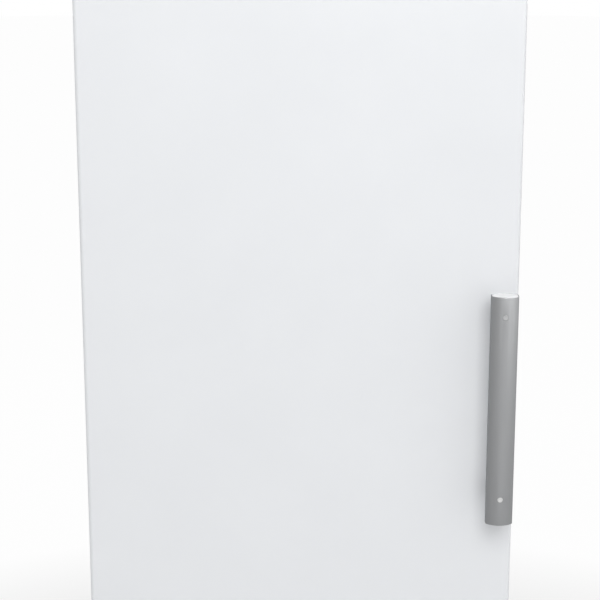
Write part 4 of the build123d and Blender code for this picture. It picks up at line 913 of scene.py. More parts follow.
# Cabinet sheets, lid, plinth, liner
cabinetLook = {
    "lidEdge": 2.2 * mm, "plinthEdge": 0.9 * mm, "linerEdge": 1.4 * mm,
    "paint": {
        "pattern": "paintPeel", "scale": 560.0, "waves": 0.6, "strength": 0.22, "depth": 0.05 * mm,
        "colour": (0.77, 0.775, 0.785), "shade": (0.80, 0.805, 0.815), "roughness": 0.36, "spread": 0.07,
        "dust": 0.1, "sockets": {"Coat Weight": 0.15, "Coat Roughness": 0.2},
    },
    "lid": {
        "colour": (0.76, 0.765, 0.77), "shade": (0.72, 0.725, 0.735), "roughness": 0.46, "scale": 1100.0,
        "strength": 0.3, "depth": 0.06 * mm, "dust": 0.12,
    },
    "zinc": {
        "pattern": "brushGrain", "scale": 240.0, "stretch": (1.0, 0.6, 0.6), "strength": 0.2,
        "depth": 0.03 * mm, "colour": (0.50, 0.51, 0.52), "shade": (0.39, 0.40, 0.42), "roughness": 0.42,
        "spread": 0.18, "dust": 0.3, "sockets": {"Metallic": 0.9},
    },
    "plinth": {
        "colour": (0.16, 0.165, 0.17), "shade": (0.13, 0.134, 0.14), "roughness": 0.5, "scale": 1000.0,
        "strength": 0.35, "depth": 0.06 * mm, "dust": 0.35, "wear": 0.3, "wearColour": (0.3, 0.3, 0.3),
    },
}
cabinetPaint, lidPlastic, zincSteel, plinthPlastic = finishes(
    cabinetLook, {"cabinetPaint": "paint", "lidPlastic": "lid", "zincSteel": "zinc", "plinthPlastic": "plinth"})
placeCopies(
    "cabinet",
    ("side_panel_left", cabinetPaint, 0, "cabinet_paint"),
    ("side_panel_right", cabinetPaint, 0, "cabinet_paint"),
    ("front_rails", cabinetPaint, 0, "cabinet_paint"),
    ("back_panel", zincSteel, 0, "plated_steel"),
    ("base_frame", zincSteel, 0, "plated_steel"),
    ("top_lid", lidPlastic, cabinetLook["lidEdge"], "white_plastic"),
    ("cabinet_liner", linerPlastic, cabinetLook["linerEdge"], "white_liner"),
    ("plinth", plinthPlastic, cabinetLook["plinthEdge"], "dark_plinth"),
)
print("cabinet made")

# Shelves, drawers, duct cover and what lies behind it
insideLook = {
    "glassEdge": 0.9 * mm, "coverEdge": 0.8 * mm, "smallEdge": 0.5 * mm,
    "duct": {
        "colour": (0.76, 0.77, 0.79), "shade": (0.72, 0.73, 0.76), "roughness": 0.4, "scale": 900.0,
        "strength": 0.2, "depth": 0.04 * mm,
    },
    "blackPlastic": {
        "colour": (0.025, 0.025, 0.027), "shade": (0.04, 0.04, 0.042), "roughness": 0.45, "scale": 1300.0,
        "strength": 0.25, "depth": 0.04 * mm, "dust": 0.15,
    },
    "aluminium": {
        "pattern": "brushGrain", "scale": 700.0, "stretch": (0.1, 1.0, 1.0), "strength": 0.15,
        "depth": 0.02 * mm, "colour": (0.72, 0.73, 0.74), "shade": (0.6, 0.61, 0.63), "roughness": 0.35,
        "spread": 0.15, "sockets": {"Metallic": 1.0},
    },
    "board": {
        "colour": (0.02, 0.11, 0.05), "shade": (0.025, 0.15, 0.07), "roughness": 0.4, "scale": 500.0,
        "strength": 0.2, "depth": 0.05 * mm,
    },
    "tray": {
        "colour": (0.06, 0.06, 0.062), "shade": (0.09, 0.09, 0.092), "roughness": 0.5, "scale": 900.0,
        "strength": 0.2, "depth": 0.05 * mm, "dust": 0.4,
    },
}
ductPlastic, blackPlastic, aluminium, boardGreen, trayPlastic = finishes(insideLook, {
    "ductPlastic": "duct", "blackPlastic": "blackPlastic", "coilAluminium": "aluminium",
    "boardGreen": "board", "trayPlastic": "tray"})


hazeLook = {"scale": 9.0, "roughness": 0.06, "fineScale": 12.0, "fineShare": 0.15, "strength": 0.3}


def clearMaterial(name, look):
    # clear body with moulding waves and a haze in patches; its gloss is a coat, and lamps shine through it
    material, tree, shader, where = newMaterial(name, look["sockets"])
    haze, rough = remap(tree, noise(tree, where, hazeLook["scale"], 5.0, 0.6), 0.35, 0.7), look["roughness"]
    feed(tree, shader.inputs["Roughness"], remap(tree, haze, 0, 1, rough, rough + hazeLook["roughness"]))
    feed(tree, shader.inputs["Base Color"], blendColour(tree, haze, (*look["colour"], 1.0), (*look["shade"], 1.0)))
    waves = noise(tree, where, look["scale"], 2.0, 0.4)
    fine = noise(tree, where, look["scale"] * hazeLook["fineScale"], 2.0, 0.5)
    height = calc(tree, "MULTIPLY_ADD", fine, hazeLook["fineShare"], waves)
    relief = {"Height": height, "Strength": hazeLook["strength"], "Distance": look["depth"]}
    feed(tree, shader.inputs["Normal"], addNode(tree, "ShaderNodeBump", relief).outputs[0])
    lamps = addNode(tree, "ShaderNodeLightPath").outputs["Is Shadow Ray"]
    through = addNode(tree, "ShaderNodeBsdfTransparent", {"Color": (*look["colour"], 1.0)})
    mixSurface(tree, lamps, shader, through)
    return material


clearLook = {
    "glass": {
        "colour": (0.93, 0.975, 0.96), "shade": (0.91, 0.96, 0.94), "roughness": 0.0, "scale": 30.0,
        "depth": 0.02 * mm,
        "sockets": {"Transmission Weight": 1.0, "IOR": 1.3, "Coat Weight": 0.6, "Coat Roughness": 0.02},
    },
    "plastic": {
        "colour": (0.955, 0.972, 0.985), "shade": (0.93, 0.955, 0.975), "roughness": 0.03, "scale": 60.0,
        "depth": 0.05 * mm,
        "sockets": {"Transmission Weight": 0.86, "IOR": 1.12, "Coat Weight": 0.8, "Coat Roughness": 0.06},
    },
}
shelfGlass = clearMaterial("shelfGlass", clearLook["glass"])
clearPlastic = clearMaterial("clearPlastic", clearLook["plastic"])
placeCopies("cabinet", ("glass_shelves", shelfGlass, insideLook["glassEdge"], "shelf_glass"))
drawerLook = {
    "edge": 0.7 * mm, "grip": 14.0 * mm, "gripHeight": 28.0 * mm, "ribs": 6, "ribPitch": 11.0 * mm,
    "ribWidth": 3.0 * mm, "ribDepth": 1.1 * mm, "ribFoot": 20.0 * mm, "ribMargin": 26.0 * mm,
    "label": (96.0 * mm, 24.0 * mm), "labelDepth": 0.8 * mm, "labelDrop": 9.0 * mm, "labelCorner": 4.0 * mm,
    "draft": 0.5 * mm,
}


def sunkCutter(low, high, near, depth, corner):
    # rounded block with drafted walls that sinks into a face looking forwards
    rings = []
    for y, shrink in ((near - 2 * mm, 0.0), (near, 0.0), (near + depth, drawerLook["draft"])):
        outline = roundRect((low[0] + shrink, low[1] + shrink), (high[0] - shrink, high[1] - shrink),
                            corner - shrink, 4)
        rings.append(flat(outline, y, "Y"))
    return loft("cutter", rings, clearPlastic)


def makeDrawer(number):
    # clear drawer with pressed ribs across its front and a sunk field for a label under the grip
    look, node = drawerLook, f"drawer_{number}"
    drawer = softCopy(node, clearPlastic, look["edge"], name=f"drawer{number}")
    low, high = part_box(node)
    near = low.y + look["grip"]
    cutters = []
    for rib in range(look["ribs"]):
        z = low.z + look["ribFoot"] + rib * look["ribPitch"]
        cutters.append(sunkCutter((low.x + look["ribMargin"], z), (high.x - look["ribMargin"], z + look["ribWidth"]),
                                  near, look["ribDepth"], look["ribWidth"] * 0.45))
    width, height = look["label"]
    top = high.z - look["gripHeight"] - look["labelDrop"]
    cutters.append(sunkCutter((-width / 2, top - height), (width / 2, top), near, look["labelDepth"],
                              look["labelCorner"]))
    cutWith(drawer, joined("cutters", *cutters))
    return place(drawer, f"drawer_body_{number}", "clear_plastic", node)


for number in range(1, 8):
    makeDrawer(number)
placeCopies(
    "cabinet",
    ("evaporator_cover", ductPlastic, insideLook["coverEdge"], "duct_plastic"),
    ("fan_motor", blackPlastic, insideLook["smallEdge"], "black_plastic"),
    ("drain_tube", blackPlastic, insideLook["smallEdge"], "black_plastic"),
    ("evaporation_tray", trayPlastic, insideLook["smallEdge"], "tray_plastic"),
    ("relay_box", blackPlastic, insideLook["smallEdge"], "black_plastic"),
    ("mains_inlet", blackPlastic, insideLook["smallEdge"], "black_plastic"),
    ("electronics_board", boardGreen, insideLook["smallEdge"], "board_green"),
)
print("inside made")

# Control panel over the door
panelLook = {
    "edge": 1.0 * mm, "ticks": 11, "tickSweep": 270.0, "tickInner": 17.5 * mm, "tickLength": 2.6 * mm,
    "tickWidth": 0.7 * mm, "tickProud": 0.12 * mm, "flutes": 24, "fluteDepth": 0.5 * mm, "knobEdge": 1.5 * mm,
    "shaft": 3.0 * mm, "pointerHalf": 0.7 * mm, "pointerGap": 0.2 * mm, "buttonEdge": 0.5 * mm, "dome": 0.5 * mm,
    "print": {
        "colour": (0.20, 0.21, 0.22), "shade": (0.25, 0.26, 0.27), "roughness": 0.5, "scale": 2000.0,
        "strength": 0.1, "depth": 0.01 * mm,
    },
    "lens": {
        "colour": (0.10, 0.32, 0.12), "shade": (0.13, 0.38, 0.15), "roughness": 0.12, "spread": 0.04,
        "scale": 1500.0, "strength": 0.1, "depth": 0.02 * mm,
        "sockets": {"Coat Weight": 0.6, "Coat Roughness": 0.05},
    },
    "knob": {
        "colour": (0.68, 0.69, 0.70), "shade": (0.63, 0.64, 0.655), "roughness": 0.38, "scale": 1500.0,
        "strength": 0.15, "depth": 0.02 * mm, "wear": 0.2, "wearColour": (0.75, 0.75, 0.75),
    },
}
printInk, lensPlastic, knobPlastic = finishes(
    panelLook, {"printInk": "print", "lensPlastic": "lens", "knobPlastic": "knob"})


def loosePiece(name, bm):
    # a piece that a tree repeats; the tree removes it after use
    obj = objectFrom(name, bm)
    bpy.context.scene.collection.objects.link(obj)
    return obj


def slab(low, high):
    # block between two corners
    bm = bmesh.new()
    bmesh.ops.create_cube(bm, size=1.0)
    for vert in bm.verts:
        for axis in range(3):
            vert.co[axis] = low[axis] + (vert.co[axis] + 0.5) * (high[axis] - low[axis])
    return bm


def makeDial():
    # printed marks round the knob
    look = panelLook
    knob = boxOf("thermostat_knob")[2]
    centre = (knob.x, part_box("control_fascia")[0].y, knob.z)
    mark = loosePiece("dialMark", slab(
        (-look["tickWidth"] / 2, -look["tickProud"], look["tickInner"]),
        (look["tickWidth"] / 2, look["tickProud"], look["tickInner"] + look["tickLength"])))
    step = math.radians(look["tickSweep"]) / (look["ticks"] - 1)
    dial = grown("dialMarks", trees["ring"], printInk, {
        "Piece": mark, "Count": look["ticks"], "First angle": 0.0, "Angle step": step,
        "Axis": (0, 1, 0), "Centre": centre})
    return place(dial, "cabinet", "black_plastic")


def makeKnob():
    # fluted knob with a pointer groove
    low, high, middle = boxOf("thermostat_knob")
    look, centre = panelLook, Vector((middle.x, low.y, middle.z))
    radius, edge, shaft = (high.x - low.x) / 2, look["knobEdge"], look["shaft"]
    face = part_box("control_fascia")[0].y - 0.3 * mm - low.y
    profile = [(radius * 0.05, 0.35 * mm), (radius * 0.5, 0.3 * mm), (radius * 0.72, 0.08 * mm),
               (radius - 1.6 * edge, 0.0), (radius - edge, 0.12 * mm), (radius - 0.35 * edge, 0.55 * edge),
               (radius - 0.1 * edge, edge), (radius, 2.2 * edge), (radius, face - 1.2 * mm),
               (radius - 0.5 * mm, face - 0.4 * mm), (radius - 0.6 * mm, face)]

    def flute(angle, height):
        depth = look["fluteDepth"] if 2 * edge < height < face - 1.0 * mm else 0.0
        return depth * (0.5 - 0.5 * math.cos(angle * look["flutes"]))

    def strip(name, half, ends, corner, levels, material):
        # rounded bar that points from the knob's centre to its rim, between two shares of its radius
        outline = roundRect((centre.x - half, centre.z + radius * ends[0]),
                            (centre.x + half, centre.z + radius * ends[1]), corner, 5)
        return loft(name, [flat(outline, centre.y + y, "Y") for y in levels], material)

    knob = turned("knob", profile, centre, "Y", knobPlastic, look["flutes"] * 6, 40, cut=flute)
    half, end = look["pointerHalf"], high.y - low.y
    groove = strip("groove", half + look["pointerGap"], (0.32, 1.05), 0.8 * mm, (-1 * mm, 0.9 * mm), knobPlastic)
    stem = turned("stem", [(shaft, face - 0.2 * mm), (shaft, end - 0.6 * mm), (shaft - 0.6 * mm, end)],
                  centre, "Y", knobPlastic, 24)
    place(joined("thermostatKnob", cutWith(knob, groove), stem), "thermostat", "white_plastic", "thermostat_knob")
    pointer = strip("knobPointer", half, (0.36, 0.96), 0.6 * mm, (0.35 * mm, 1.1 * mm), printInk)
    return place(pointer, "thermostat", "black_plastic")


def makeLenses():
    # three lenses in a row, with domed fronts
    low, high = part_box("indicator_lenses")
    radius = (high.z - low.z) / 2
    span = (high.x - low.x - 2 * radius) / 2
    domed = [(radius * math.sin(a), panelLook["dome"] * (1 - math.cos(a))) for a in quarterTurn(6)]
    profile = [(radius * 0.02, 0.0), *domed, (radius, high.y - low.y)]
    row = [turned("lens", profile, (low.x + radius + index * span, low.y, low.z + radius), "Y", lensPlastic, 24, 50)
           for index in range(3)]
    return place(joined("indicatorLenses", *row), "cabinet", "lens_plastic", "indicator_lenses")


placeCopies("cabinet", ("control_fascia", whitePlastic, panelLook["edge"], "white_plastic"))
placeCopies("super_freeze", ("super_freeze_button", knobPlastic, panelLook["buttonEdge"], "white_plastic"))
makeDial()
makeKnob()
makeLenses()
print("control panel made")

# Hinges, screws, feet and rollers
steelLook = {
    "hingeEdge": 0.5 * mm, "thread": 0.35 * mm, "threadPitch": 1.25 * mm, "rollerHub": 7.0 * mm,
    "rollerBore": 3.08 * mm, "pad": 17.0 * mm, "padHeight": 8.0 * mm, "stud": 4.0 * mm, "grips": 18,
    "gripDepth": 0.7 * mm, "screwHead": 4.5 * mm, "screwDepth": 3.0 * mm, "shank": 2.5 * mm, "screwSpan": 26.0 * mm,
    "hingePlate": 3.0 * mm,
    "hinge": {
        "pattern": "brushGrain", "scale": 600.0, "stretch": (0.3, 1.0, 1.0), "strength": 0.12,
        "depth": 0.02 * mm, "colour": (0.46, 0.46, 0.47), "shade": (0.36, 0.36, 0.375), "roughness": 0.36,
        "spread": 0.12, "wear": 0.45, "wearColour": (0.7, 0.7, 0.69), "sockets": {"Metallic": 1.0},
    },
    "foot": {
        "colour": (0.045, 0.046, 0.048), "shade": (0.07, 0.07, 0.072), "roughness": 0.55, "scale": 1000.0,
        "strength": 0.3, "depth": 0.05 * mm, "dust": 0.3, "wear": 0.3, "wearColour": (0.16, 0.16, 0.16),
    },
}
hingeSteel, footPlastic = finishes(steelLook, {"hingeSteel": "hinge", "footPlastic": "foot"})
placeCopies("cabinet", ("lower_hinge", hingeSteel, steelLook["hingeEdge"], "hinge_steel"),
            ("upper_hinge", hingeSteel, steelLook["hingeEdge"], "hinge_steel"))


def screwHead(radius, depth, shank, length):
    # six-sided flange screw that points along +Y, its head towards -Y
    rings = []
    for r, y, hexagon in ((radius * 0.3, 0.25, True), (radius * 0.78, 0.0, True), (radius * 0.88, 0.12, True),
                          (radius * 0.88, 0.62, True), (radius, 0.7, False), (radius, 1.0, False),
                          (shank, 1.0, False), (shank, 1.0 + length / depth, False)):
        ring = []
        for angle in fullTurn(24):
            part = (angle % (math.pi / 3)) - math.pi / 6
            reach = r * math.cos(math.pi / 6) / math.cos(part) if hexagon else r
            ring.append((reach * math.cos(angle), y * depth - depth, reach * math.sin(angle)))
        rings.append(ring)
    return skinOver(rings)


def makeHingeScrews():
    # three for each hinge, on the cabinet's front
    low, high, middle = boxOf("hinge_screws")
    look, radius, span = steelLook, steelLook["screwHead"], steelLook["screwSpan"]
    face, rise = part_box("side_panel_left")[0].y - look["hingePlate"], radius * math.cos(math.pi / 6)
    piece = loosePiece("screwPiece", screwHead(radius, look["screwDepth"], look["shank"], high.y - face))
    screws = grown("hingeScrews", trees["rows"], screwSteel, {
        "Piece": piece, "Columns": 3, "Column step": (span, 0, 0), "Rows": 2,
        "Row step": (0, 0, high.z - low.z - 2 * rise), "Start": (middle.x - span, face, low.z + rise)}, sharp=30)
    return place(screws, "cabinet", "screw_steel", "hinge_screws")


def makeFoot(node, body):
    # moulded pad with a gripping rim and a threaded stud
    low, high, middle = boxOf(node)
    centre, look = (middle.x, middle.y, low.z), steelLook
    pad, rise, stud = look["pad"], look["padHeight"], look["stud"]
    profile = [(pad * 0.7, 0.0), (pad - 1.2 * mm, 0.0), (pad - 0.3 * mm, 0.4 * mm), (pad, 1.4 * mm),
               (pad, 5.4 * mm), (pad - 0.6 * mm, 6.3 * mm), (pad - 2.2 * mm, 7.2 * mm), (pad * 0.6, rise),
               (pad * 0.45, rise)]

    def grip(angle, height):
        depth = look["gripDepth"] if 1 * mm < height < 6 * mm else 0.0
        return depth * max(0.0, math.cos(angle * look["grips"])) ** 2

    base = turned("pad", profile, centre, "Z", footPlastic, look["grips"] * 6, 40, cut=grip)
    top, pitch, steps = high.z - low.z, look["threadPitch"], 24
    bm = bmesh.new()
    rows = []
    for step in range(int((top - rise - 1 * mm) / pitch) * steps + 1):
        angle, z = 2 * math.pi * step / steps, low.z + rise + pitch * step / steps
        rows.append([bm.verts.new((middle.x + r * math.cos(angle), middle.y + r * math.sin(angle), z + dz))
                     for r, dz in ((stud - look["thread"], 0.0), (stud, pitch * 0.5))])
    for first, second in zip(rows, rows[1:]):
        bm.faces.new((first[0], second[0], second[1], first[1]))
    for first, second, above, aboveNext in zip(rows, rows[1:], rows[steps:], rows[steps + 1:]):
        bm.faces.new((first[1], second[1], aboveNext[0], above[0]))
    thread = dress(objectFrom("thread", bm), footPlastic)
    root = stud - 0.45 * mm
    core = turned("core", [(root, 6 * mm), (root, top - 0.6 * mm), (stud - 1.2 * mm, top)],
                  centre, "Z", footPlastic, 24)
    return place(joined(camel(node), base, thread, core), body, "foot_plastic", node)


def makeRoller(node, body):
    # moulded wheel: hub, sunk sides and a rounded tread
    low, high, middle = boxOf(node)
    radius, width = (high.z - low.z) / 2, high.x - low.x
    hub, bore = steelLook["rollerHub"], steelLook["rollerBore"]
    side = [(bore, 0.8 * mm), (bore, 0.3 * mm), (bore + 0.6 * mm, 0.0), (hub - 0.5 * mm, 0.0), (hub, 0.5 * mm),
            (hub + 0.4 * mm, 2.4 * mm), (radius - 4.4 * mm, 2.6 * mm), (radius - 3.6 * mm, 0.8 * mm),
            (radius - 2.8 * mm, 0.1 * mm), (radius - 1.2 * mm, 0.1 * mm), (radius - 0.3 * mm, 0.8 * mm),
            (radius, 2.0 * mm)]
    profile = side + [(r, width - x) for r, x in side[::-1]]
    roller = turned(camel(node), profile, (low.x, middle.y, middle.z), "X", footPlastic, 48, 40, closed=True)
    return place(roller, body, "foot_plastic", node)


makeHingeScrews()
for side in ("left", "right"):
    makeFoot(f"foot_{side}", f"{side}_foot")
for side in ("left", "right"):
    makeRoller(f"roller_{side}", f"{side}_roller")
print("hinges, feet and rollers made")

# Refrigeration set
coldLook = {
    "tube": 2.5 * mm, "wire": 0.8 * mm, "bend": 22.0 * mm, "passes": 13, "wires": 24, "sides": 12,
    "suction": 4.0 * mm, "capillary": 1.2 * mm, "lineHeight": 140.0 * mm,
    "smallEdge": 0.3 * mm, "rubberEdge": 0.5 * mm,
    "drier": 9.0 * mm, "drierNeck": 4.0 * mm, "neckLength": 6.0 * mm, "domeLength": 9.0 * mm,
    "shell": {
        "pattern": "paintPeel", "scale": 300.0, "waves": 0.8, "strength": 0.35, "depth": 0.12 * mm,
        "colour": (0.016, 0.016, 0.017), "shade": (0.03, 0.03, 0.031), "roughness": 0.3, "spread": 0.14,
        "dust": 0.5, "wear": 0.3, "wearColour": (0.12, 0.12, 0.12), "sockets": {"Coat Weight": 0.2},
    },
    "condenser": {
        "pattern": "paintPeel", "scale": 500.0, "waves": 0.6, "strength": 0.3, "depth": 0.05 * mm,
        "colour": (0.02, 0.02, 0.021), "shade": (0.035, 0.035, 0.036), "roughness": 0.4, "spread": 0.14,
        "dust": 0.5,
    },
    "rubber": {
        "colour": (0.03, 0.03, 0.03), "shade": (0.05, 0.05, 0.05), "roughness": 0.75, "scale": 1200.0,
        "strength": 0.4, "depth": 0.05 * mm, "dust": 0.3,
    },
    "copper": {
        "pattern": "brushGrain", "scale": 300.0, "stretch": (1.0, 1.0, 0.3), "strength": 0.2,
        "depth": 0.03 * mm, "colour": (0.72, 0.35, 0.20), "shade": (0.42, 0.19, 0.11), "roughness": 0.34,
        "spread": 0.2, "dust": 0.1, "sockets": {"Metallic": 1.0},
    },
}
blackEnamel, condenserEnamel, rubber, copper = finishes(coldLook, {
    "blackEnamel": "shell", "condenserEnamel": "condenser", "blackRubber": "rubber", "copperTube": "copper"})
drierLow, drierHigh, drierMiddle = boxOf("filter_drier")


def tubeAlong(node, material, radius, route, bend, bendSteps, sides):
    # tube that follows a route of points, its corners bent
    sizes = {"Radius": radius, "Bend radius": bend, "Bend steps": bendSteps, "Sides": sides}
    return grown(camel(node), trees["tube"], material, sizes, route, 60)


def makeCondenser():
    # serpentine that ends at the drier, and the wires on its two sides
    low, high, middle = boxOf("condenser_wires")
    look, tube, middleY = coldLook, coldLook["tube"], middle.y
    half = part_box("condenser_tube")[1].x
    bottom, top = low.z + 4 * tube, high.z - 4 * tube
    pitch = (top - bottom) / (look["passes"] - 1)
    route = []
    for index in range(look["passes"]):
        side = half if index % 2 == 0 else -half
        z = top - index * pitch
        route += [(side, middleY, z), (-side, middleY, z)]
    x, y, drop = drierMiddle.x, drierMiddle.y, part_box("back_panel")[0].z - look["bend"]
    route[-1] = (x, middleY, bottom)
    route += [(x, middleY, drop), (x, y, drop), (x, y, drierHigh.z)]
    coil = tubeAlong("condenser_tube", condenserEnamel, tube, route, look["bend"], 10, look["sides"])
    place(coil, "cabinet", "condenser_enamel", "condenser_tube")
    wire = grown("wirePiece", trees["tube"], condenserEnamel,
                 {"Radius": look["wire"], "Bend radius": 0.0, "Bend steps": 1, "Sides": 6},
                 [(0, 0, low.z), (0, 0, high.z)])
    count = look["wires"]
    span = high.x - low.x - 2 * look["wire"]
    gap = high.y - low.y - 2 * look["wire"]
    wires = grown("condenserWires", trees["rows"], condenserEnamel, {
        "Piece": wire, "Columns": count, "Column step": (span / (count - 1), 0, 0), "Rows": 2,
        "Row step": (0, gap, 0), "Start": (low.x + look["wire"], low.y + look["wire"], 0)}, sharp=70)
    place(wires, "cabinet", "condenser_enamel", "condenser_wires")
    placeCopies("cabinet", ("condenser_brackets", condenserEnamel, look["smallEdge"], "condenser_enamel"))
    return middleY, top


def makeLines(condenserY, condenserTop):
    # discharge, suction and capillary lines, and the drier that the capillary leaves
    look, bend, lineZ = coldLook, coldLook["bend"], coldLook["lineHeight"]
    compressorY = boxOf("compressor")[2].y
    low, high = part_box("discharge_line")
    outX = high.x - look["tube"]
    route = [(low.x, compressorY, lineZ), (outX, compressorY, lineZ), (outX, condenserY, lineZ),
             (outX, condenserY, condenserTop), (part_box("condenser_tube")[1].x, condenserY, condenserTop)]
    lines = [tubeAlong("discharge_line", copper, look["tube"], route, bend, 10, 14)]
    low, high, middle = boxOf("suction_line")
    suctionX, suctionY = low.x + look["suction"], middle.y
    route = [(suctionX, suctionY, high.z), (suctionX, suctionY, lineZ), (high.x, suctionY, lineZ)]
    lines.append(tubeAlong("suction_line", copper, look["suction"], route, bend, 10, 14))
    low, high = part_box("capillary_tube")
    x, y, thin = drierMiddle.x, drierMiddle.y, look["capillary"]
    capX, lowZ = suctionX - look["suction"] - 2 * thin, low.z + thin
    route = [(x, y, drierLow.z), (x, y, lowZ), (capX, y, lowZ), (capX, suctionY, lowZ), (capX, suctionY, high.z)]
    lines.append(tubeAlong("capillary_tube", copper, thin, route, bend / 2, 8, 10))
    wide, neck, start = look["drier"], look["drierNeck"], look["neckLength"]
    profile = [(thin, 0), (neck, 0.6 * mm), (neck, start)]
    profile += [(neck + (wide - neck) * math.sin(a), start + look["domeLength"] * (1 - math.cos(a)))
                for a in quarterTurn(6)]
    profile += [(r, drierHigh.z - drierLow.z - z) for r, z in profile[::-1]]
    lines.append(turned("filterDrier", profile, (x, y, drierLow.z), "Z", copper, 32))
    for line, node in zip(lines, ("discharge_line", "suction_line", "capillary_tube", "filter_drier")):
        place(line, "cabinet", "copper", node)


compressorLook = {
    "length": 190.0 * mm, "width": 140.0 * mm, "corner": 60.0 * mm, "dome": 34.0 * mm, "foot": 17.0 * mm,
    "seam": 0.52, "plate": 3.0 * mm, "plateHalves": (106.5 * mm, 72.0 * mm), "plateCorner": 11.0 * mm,
}


def makeCompressor():
    # drawn steel shell: rounded plan, domed top, welded seam, pressed foot plate
    low, high, centre = boxOf("compressor")
    look, plate, dome, foot = compressorLook, compressorLook["plate"], compressorLook["dome"], compressorLook["foot"]
    shellZ, top = low.z + plate, high.z
    seam = shellZ + (top - shellZ) * look["seam"]

    def outlineOf(a, b, corner, z, steps):
        return flat(roundRect((centre.x - a, centre.y - b), (centre.x + a, centre.y + b), corner, steps), z)

    def ring(inset, z):
        corner = max(look["corner"] - inset, 8 * mm)
        return outlineOf(look["length"] / 2 - inset, look["width"] / 2 - inset, corner, z, 12)

    rings = [ring(30 * mm, shellZ - 0.2 * mm), ring(foot, shellZ)]
    rings += [ring(foot * (1 - math.sin(a)), shellZ + foot * (1 - math.cos(a))) for a in quarterTurn(6)]
    rings += [ring(0, seam - 1.2 * mm), ring(-1.6 * mm, seam), ring(-2.5 * mm, seam + 1 * mm),
              ring(-2.5 * mm, seam + 5 * mm), ring(-1.8 * mm, seam + 6 * mm), ring(0.4 * mm, seam + 6.6 * mm)]
    rings += [ring(dome * (1 - math.cos(a)) + 0.4 * mm, top - dome + dome * math.sin(a))
              for a in (0.0, *quarterTurn(9))]
    rings += [ring(dome + 8 * mm, top - 0.1 * mm), ring(dome + 14 * mm, top - 1.2 * mm)]
    shell = loft("shell", rings, blackEnamel, 45)
    (a, b), corner = look["plateHalves"], look["plateCorner"]
    rings = [outlineOf(a - inset, b - inset, corner - inset, low.z + z, 8)
             for z, inset in ((0, 1 * mm), (0.2 * mm, 0), (plate - 0.4 * mm, 0), (plate, 0.5 * mm))]
    place(joined("compressor", shell, loft("plate", rings, blackEnamel)), "cabinet", "black_enamel", "compressor")


evaporatorLook = {
    "rows": 4, "fins": 33, "tube": 4.0 * mm, "fin": 0.4 * mm, "finHalf": 145.0 * mm, "depth": 32.0 * mm,
    "height": 170.0 * mm, "bend": 7.0 * mm,
}


def makeEvaporator():
    # thin fins on a tube that winds up through them in two planes
    low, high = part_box("evaporator_coil")
    look, finHalf, depth = evaporatorLook, evaporatorLook["finHalf"], evaporatorLook["depth"]
    front, bottom = low.y, low.z
    depths = (front + depth * 0.27, front + depth * 0.73)
    fin = loosePiece("finPiece", slab((-look["fin"], front, bottom),
                                      (look["fin"], front + depth, bottom + look["height"])))
    fins = grown("evaporatorFins", trees["rows"], aluminium, {
        "Piece": fin, "Columns": look["fins"], "Column step": (2 * finHalf / (look["fins"] - 1), 0, 0),
        "Start": (-finHalf, 0, 0)})
    route, half = [], high.x - look["tube"]
    for row in range(look["rows"]):
        z = bottom + (row + 0.5) * look["height"] / look["rows"]
        near, far = depths if row % 2 == 0 else depths[::-1]
        route += [(-half, near, z), (half, near, z), (half, far, z), (-half, far, z)]
    coil = tubeAlong("coil", aluminium, look["tube"], route, look["bend"], 6, 12)
    return place(joined("evaporatorCoil", fins, coil), "cabinet", "coil_aluminium", "evaporator_coil")


rotorLook = {
    "blades": 7, "hub": 16.0 * mm, "bore": 2.6 * mm, "pitch": 58.0, "twist": 20.0, "chord": 20.0 * mm,
    "belly": 7.0 * mm, "camber": 2.2 * mm, "thickness": 0.8 * mm, "hubFloor": 4.0 * mm,
}


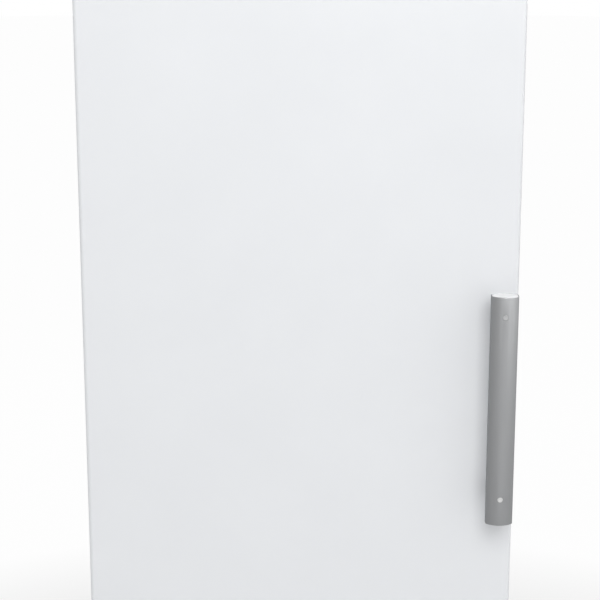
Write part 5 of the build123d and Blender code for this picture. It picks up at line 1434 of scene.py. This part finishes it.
def makeRotor():
    # cambered blades round a hub
    low, high, middle = boxOf("fan_rotor")
    look, hub, bore, centre = rotorLook, rotorLook["hub"], rotorLook["bore"], Vector((0, low.y, middle.z))
    tip, depth, floor = (high.x - low.x) / 2 - 0.5 * mm, high.y - low.y, look["hubFloor"]
    rows = []
    for step in range(9):
        share = step / 8
        radius = hub * 0.9 + (tip - hub * 0.9) * share
        pitch = math.radians(look["pitch"] - look["twist"] * share)
        chord = look["chord"] + look["belly"] * math.sin(math.pi * share)
        row = []
        for side in (1, -1):
            for cross in range(7):
                t = cross / 6 - 0.5 if side > 0 else 0.5 - cross / 6
                along = t * chord
                off = look["camber"] * (0.25 - t * t) + side * look["thickness"] * (1 - 1.6 * abs(t))
                sideways = along * math.sin(pitch) * 0.75 + off * math.cos(pitch)
                y = depth / 2 - along * math.cos(pitch) * 0.72 + off * math.sin(pitch)
                y, angle = max(0.3 * mm, min(depth - 0.3 * mm, y)), sideways / radius
                row.append((radius * math.cos(angle), y, radius * math.sin(angle)))
        rows.append(row)
    blade = loosePiece("bladePiece", skinOver(rows))
    ring = grown("blades", trees["ring"], blackPlastic, {
        "Piece": blade, "Count": look["blades"], "First angle": 0.0, "Angle step": 2 * math.pi / look["blades"],
        "Axis": (0, 1, 0), "Centre": centre}, sharp=50)
    profile = [(bore, 0.4 * mm), (bore + 1 * mm, 0.0), (hub * 0.7, 0.0), (hub * 0.92, 0.6 * mm), (hub, 2.4 * mm),
               (hub, depth), (hub - 1.4 * mm, depth), (hub - 1.6 * mm, floor), (bore + 2 * mm, floor),
               (bore + 2 * mm, depth), (bore, depth)]
    hubPiece = turned("hub", profile, centre, "Y", blackPlastic, 40, 40, closed=True)
    return place(joined("fanRotor", ring, hubPiece), "evaporator_fan", "black_plastic", "fan_rotor")


makeLines(*makeCondenser())
makeCompressor()
placeCopies(
    "cabinet",
    ("compressor_grommets", rubber, coldLook["rubberEdge"], "black_rubber"),
    ("compressor_bolts", screwSteel, coldLook["smallEdge"], "screw_steel"),
    ("compressor_rail", zincSteel, coldLook["smallEdge"], "plated_steel"),
)
makeEvaporator()
makeRotor()
print("refrigeration set made")
